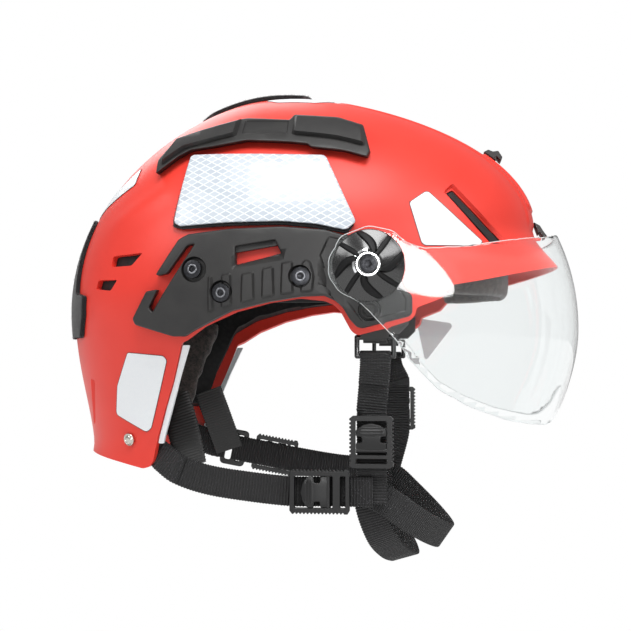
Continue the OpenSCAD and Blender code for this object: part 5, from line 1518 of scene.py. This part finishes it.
# Needled felt: brown-black fibres with paler flecks and no shine
felt, tree = new_material("needled_felt_brown_black")
where = add(tree, "TexCoord", {}, {})
fibre = add(tree, "TexNoise", {}, {"Vector": where.outputs["Object"], "Scale": 1000 / 1.6, "Detail": 7.0,
                                   "Roughness": 0.75})
fleck = add(tree, "TexNoise", {}, {"Vector": where.outputs["Object"], "Scale": 1000 / 4.5, "Detail": 3.0})
blend = add(tree, "Math", {"operation": "MULTIPLY_ADD"},
            {0: fleck.outputs["Fac"], 1: 0.5, 2: fibre.outputs["Fac"]})
tint = add(tree, "ValToRGB", {"stops": [(0.6, "131111"), (0.95, "5a4e48")]}, {"Fac": blend.outputs[0]})
felt_bump = add(tree, "Bump", {}, {"Height": fibre.outputs["Fac"], "Strength": 0.8, "Distance": 0.0007})
body = add(tree, "BsdfPrincipled", {},
           {"Base Color": tint.outputs["Color"], "Roughness": 0.95, "Sheen Weight": 0.4,
            "Sheen Roughness": 0.6, "Specular IOR Level": 0.2, "Normal": felt_bump.outputs["Normal"]})
add(tree, "OutputMaterial", {}, {"Surface": body.outputs[0]})


def baked(made):
    """The object's mesh with its modifiers applied, in place of the plain one."""
    mesh = bpy.data.meshes.new_from_object(made.evaluated_get(bpy.context.evaluated_depsgraph_get()))
    made.modifiers.clear()
    made.data = mesh
    return mesh


def pad(node, cap, seam_inset=7.0, seam_half=2.2, seam_deep=1.3):
    """A felt pad swelled from a CAD solid, by no more than a cap, with a stitched channel round its face."""
    bm = bmesh.new()
    bm.from_mesh(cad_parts[node].data)
    bmesh.ops.remove_doubles(bm, verts=bm.verts, dist=1e-5)
    mesh = bpy.data.meshes.new(node + "_felt")
    bm.to_mesh(mesh)
    bm.free()
    made = bpy.data.objects.new(node + "_felt", mesh)
    scene.collection.objects.link(made)
    modifier(made, "REMESH", mode="VOXEL", voxel_size=0.004)
    modifier(made, "SMOOTH", factor=0.5, iterations=10)
    baked(made)
    start = np.array([v.co for v in made.data.vertices])
    swell = modifier(made, "CLOTH")
    swell.settings.use_pressure = True
    swell.settings.uniform_pressure_force = 4.0
    swell.settings.effector_weights.gravity = 0.0
    swell.settings.quality = 4
    swell.point_cache.frame_start, swell.point_cache.frame_end = 1, 20
    for k in range(1, 21):
        scene.frame_set(k)
    moved = np.array([v.co for v in baked(made).vertices])
    scene.frame_set(1)
    step = moved - start
    far = np.linalg.norm(step, axis=1)[:, None]
    places = start + step * np.minimum(1, cap / 1000 / np.maximum(far, 1e-9))
    made.data.vertices.foreach_set("co", places.ravel())
    modifier(made, "SUBSURF", levels=1, render_levels=1)
    mesh = baked(made)
    places = np.array([v.co for v in mesh.vertices]) * 1000
    normals = np.array([v.normal for v in mesh.vertices])
    low, high = places.min(0), places.max(0)
    spread = np.argsort(high - low)[1:]
    face = np.einsum("ij,ij->i", normals, outward(places, inner_front)) < -0.35
    flat = (places - (low + high) / 2)[:, spread]
    edge = np.min(((high - low) / 2)[spread] - np.abs(flat), axis=1)
    groove = np.clip(1 - np.abs(edge - seam_inset) / seam_half, 0, 1) ** 1.5 * face
    places -= normals * (seam_deep * groove)[:, None]
    mesh.vertices.foreach_set("co", (places / 1000).ravel())
    mesh.materials.clear()
    mesh.materials.append(felt)
    mesh.shade_smooth()
    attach(made, "helmet")
    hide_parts(node)


pad("brow_pad", 1.5)
pad("crown_pad", 2.0)
for node in ("side_pad", "nape_pad"):
    for side in ("right", "left"):
        pad(f"{node}_{side}", 1.5)

# Headband and size dial
# The headband: a flexible nylon band that is held to the liner by four lugs, with arms down to the dial
# housing at the back. The dial is a ribbed wheel that tightens the band. The nodes keep their shape.

# Moulded nylon of the band: black with faint clouds and a fine grain
supple, tree = new_material("moulded_nylon_band_black")
where = add(tree, "TexCoord", {}, {})
grain = add(tree, "TexNoise", {}, {"Vector": where.outputs["Object"], "Scale": 1000 / 1.0, "Detail": 3.0})
cloud = add(tree, "TexNoise", {}, {"Vector": where.outputs["Object"], "Scale": 1000 / 25})
tint = add(tree, "ValToRGB", {"stops": [(0.0, "141415"), (1.0, "1e1e20")]}, {"Fac": cloud.outputs["Fac"]})
grain_bump = add(tree, "Bump", {}, {"Height": grain.outputs["Fac"], "Strength": 0.2, "Distance": 0.0002})
rough = add(tree, "MapRange", {}, {"Value": grain.outputs["Fac"], "To Min": 0.4, "To Max": 0.55})
body = add(tree, "BsdfPrincipled", {},
           {"Base Color": tint.outputs["Color"], "Roughness": rough.outputs["Result"],
            "Normal": grain_bump.outputs["Normal"]})
add(tree, "OutputMaterial", {}, {"Surface": body.outputs[0]})
for name, width in (("headband", 0.5), ("size_dial_housing", 0.8), ("size_dial", 0.5)):
    soften(name, supple, width)
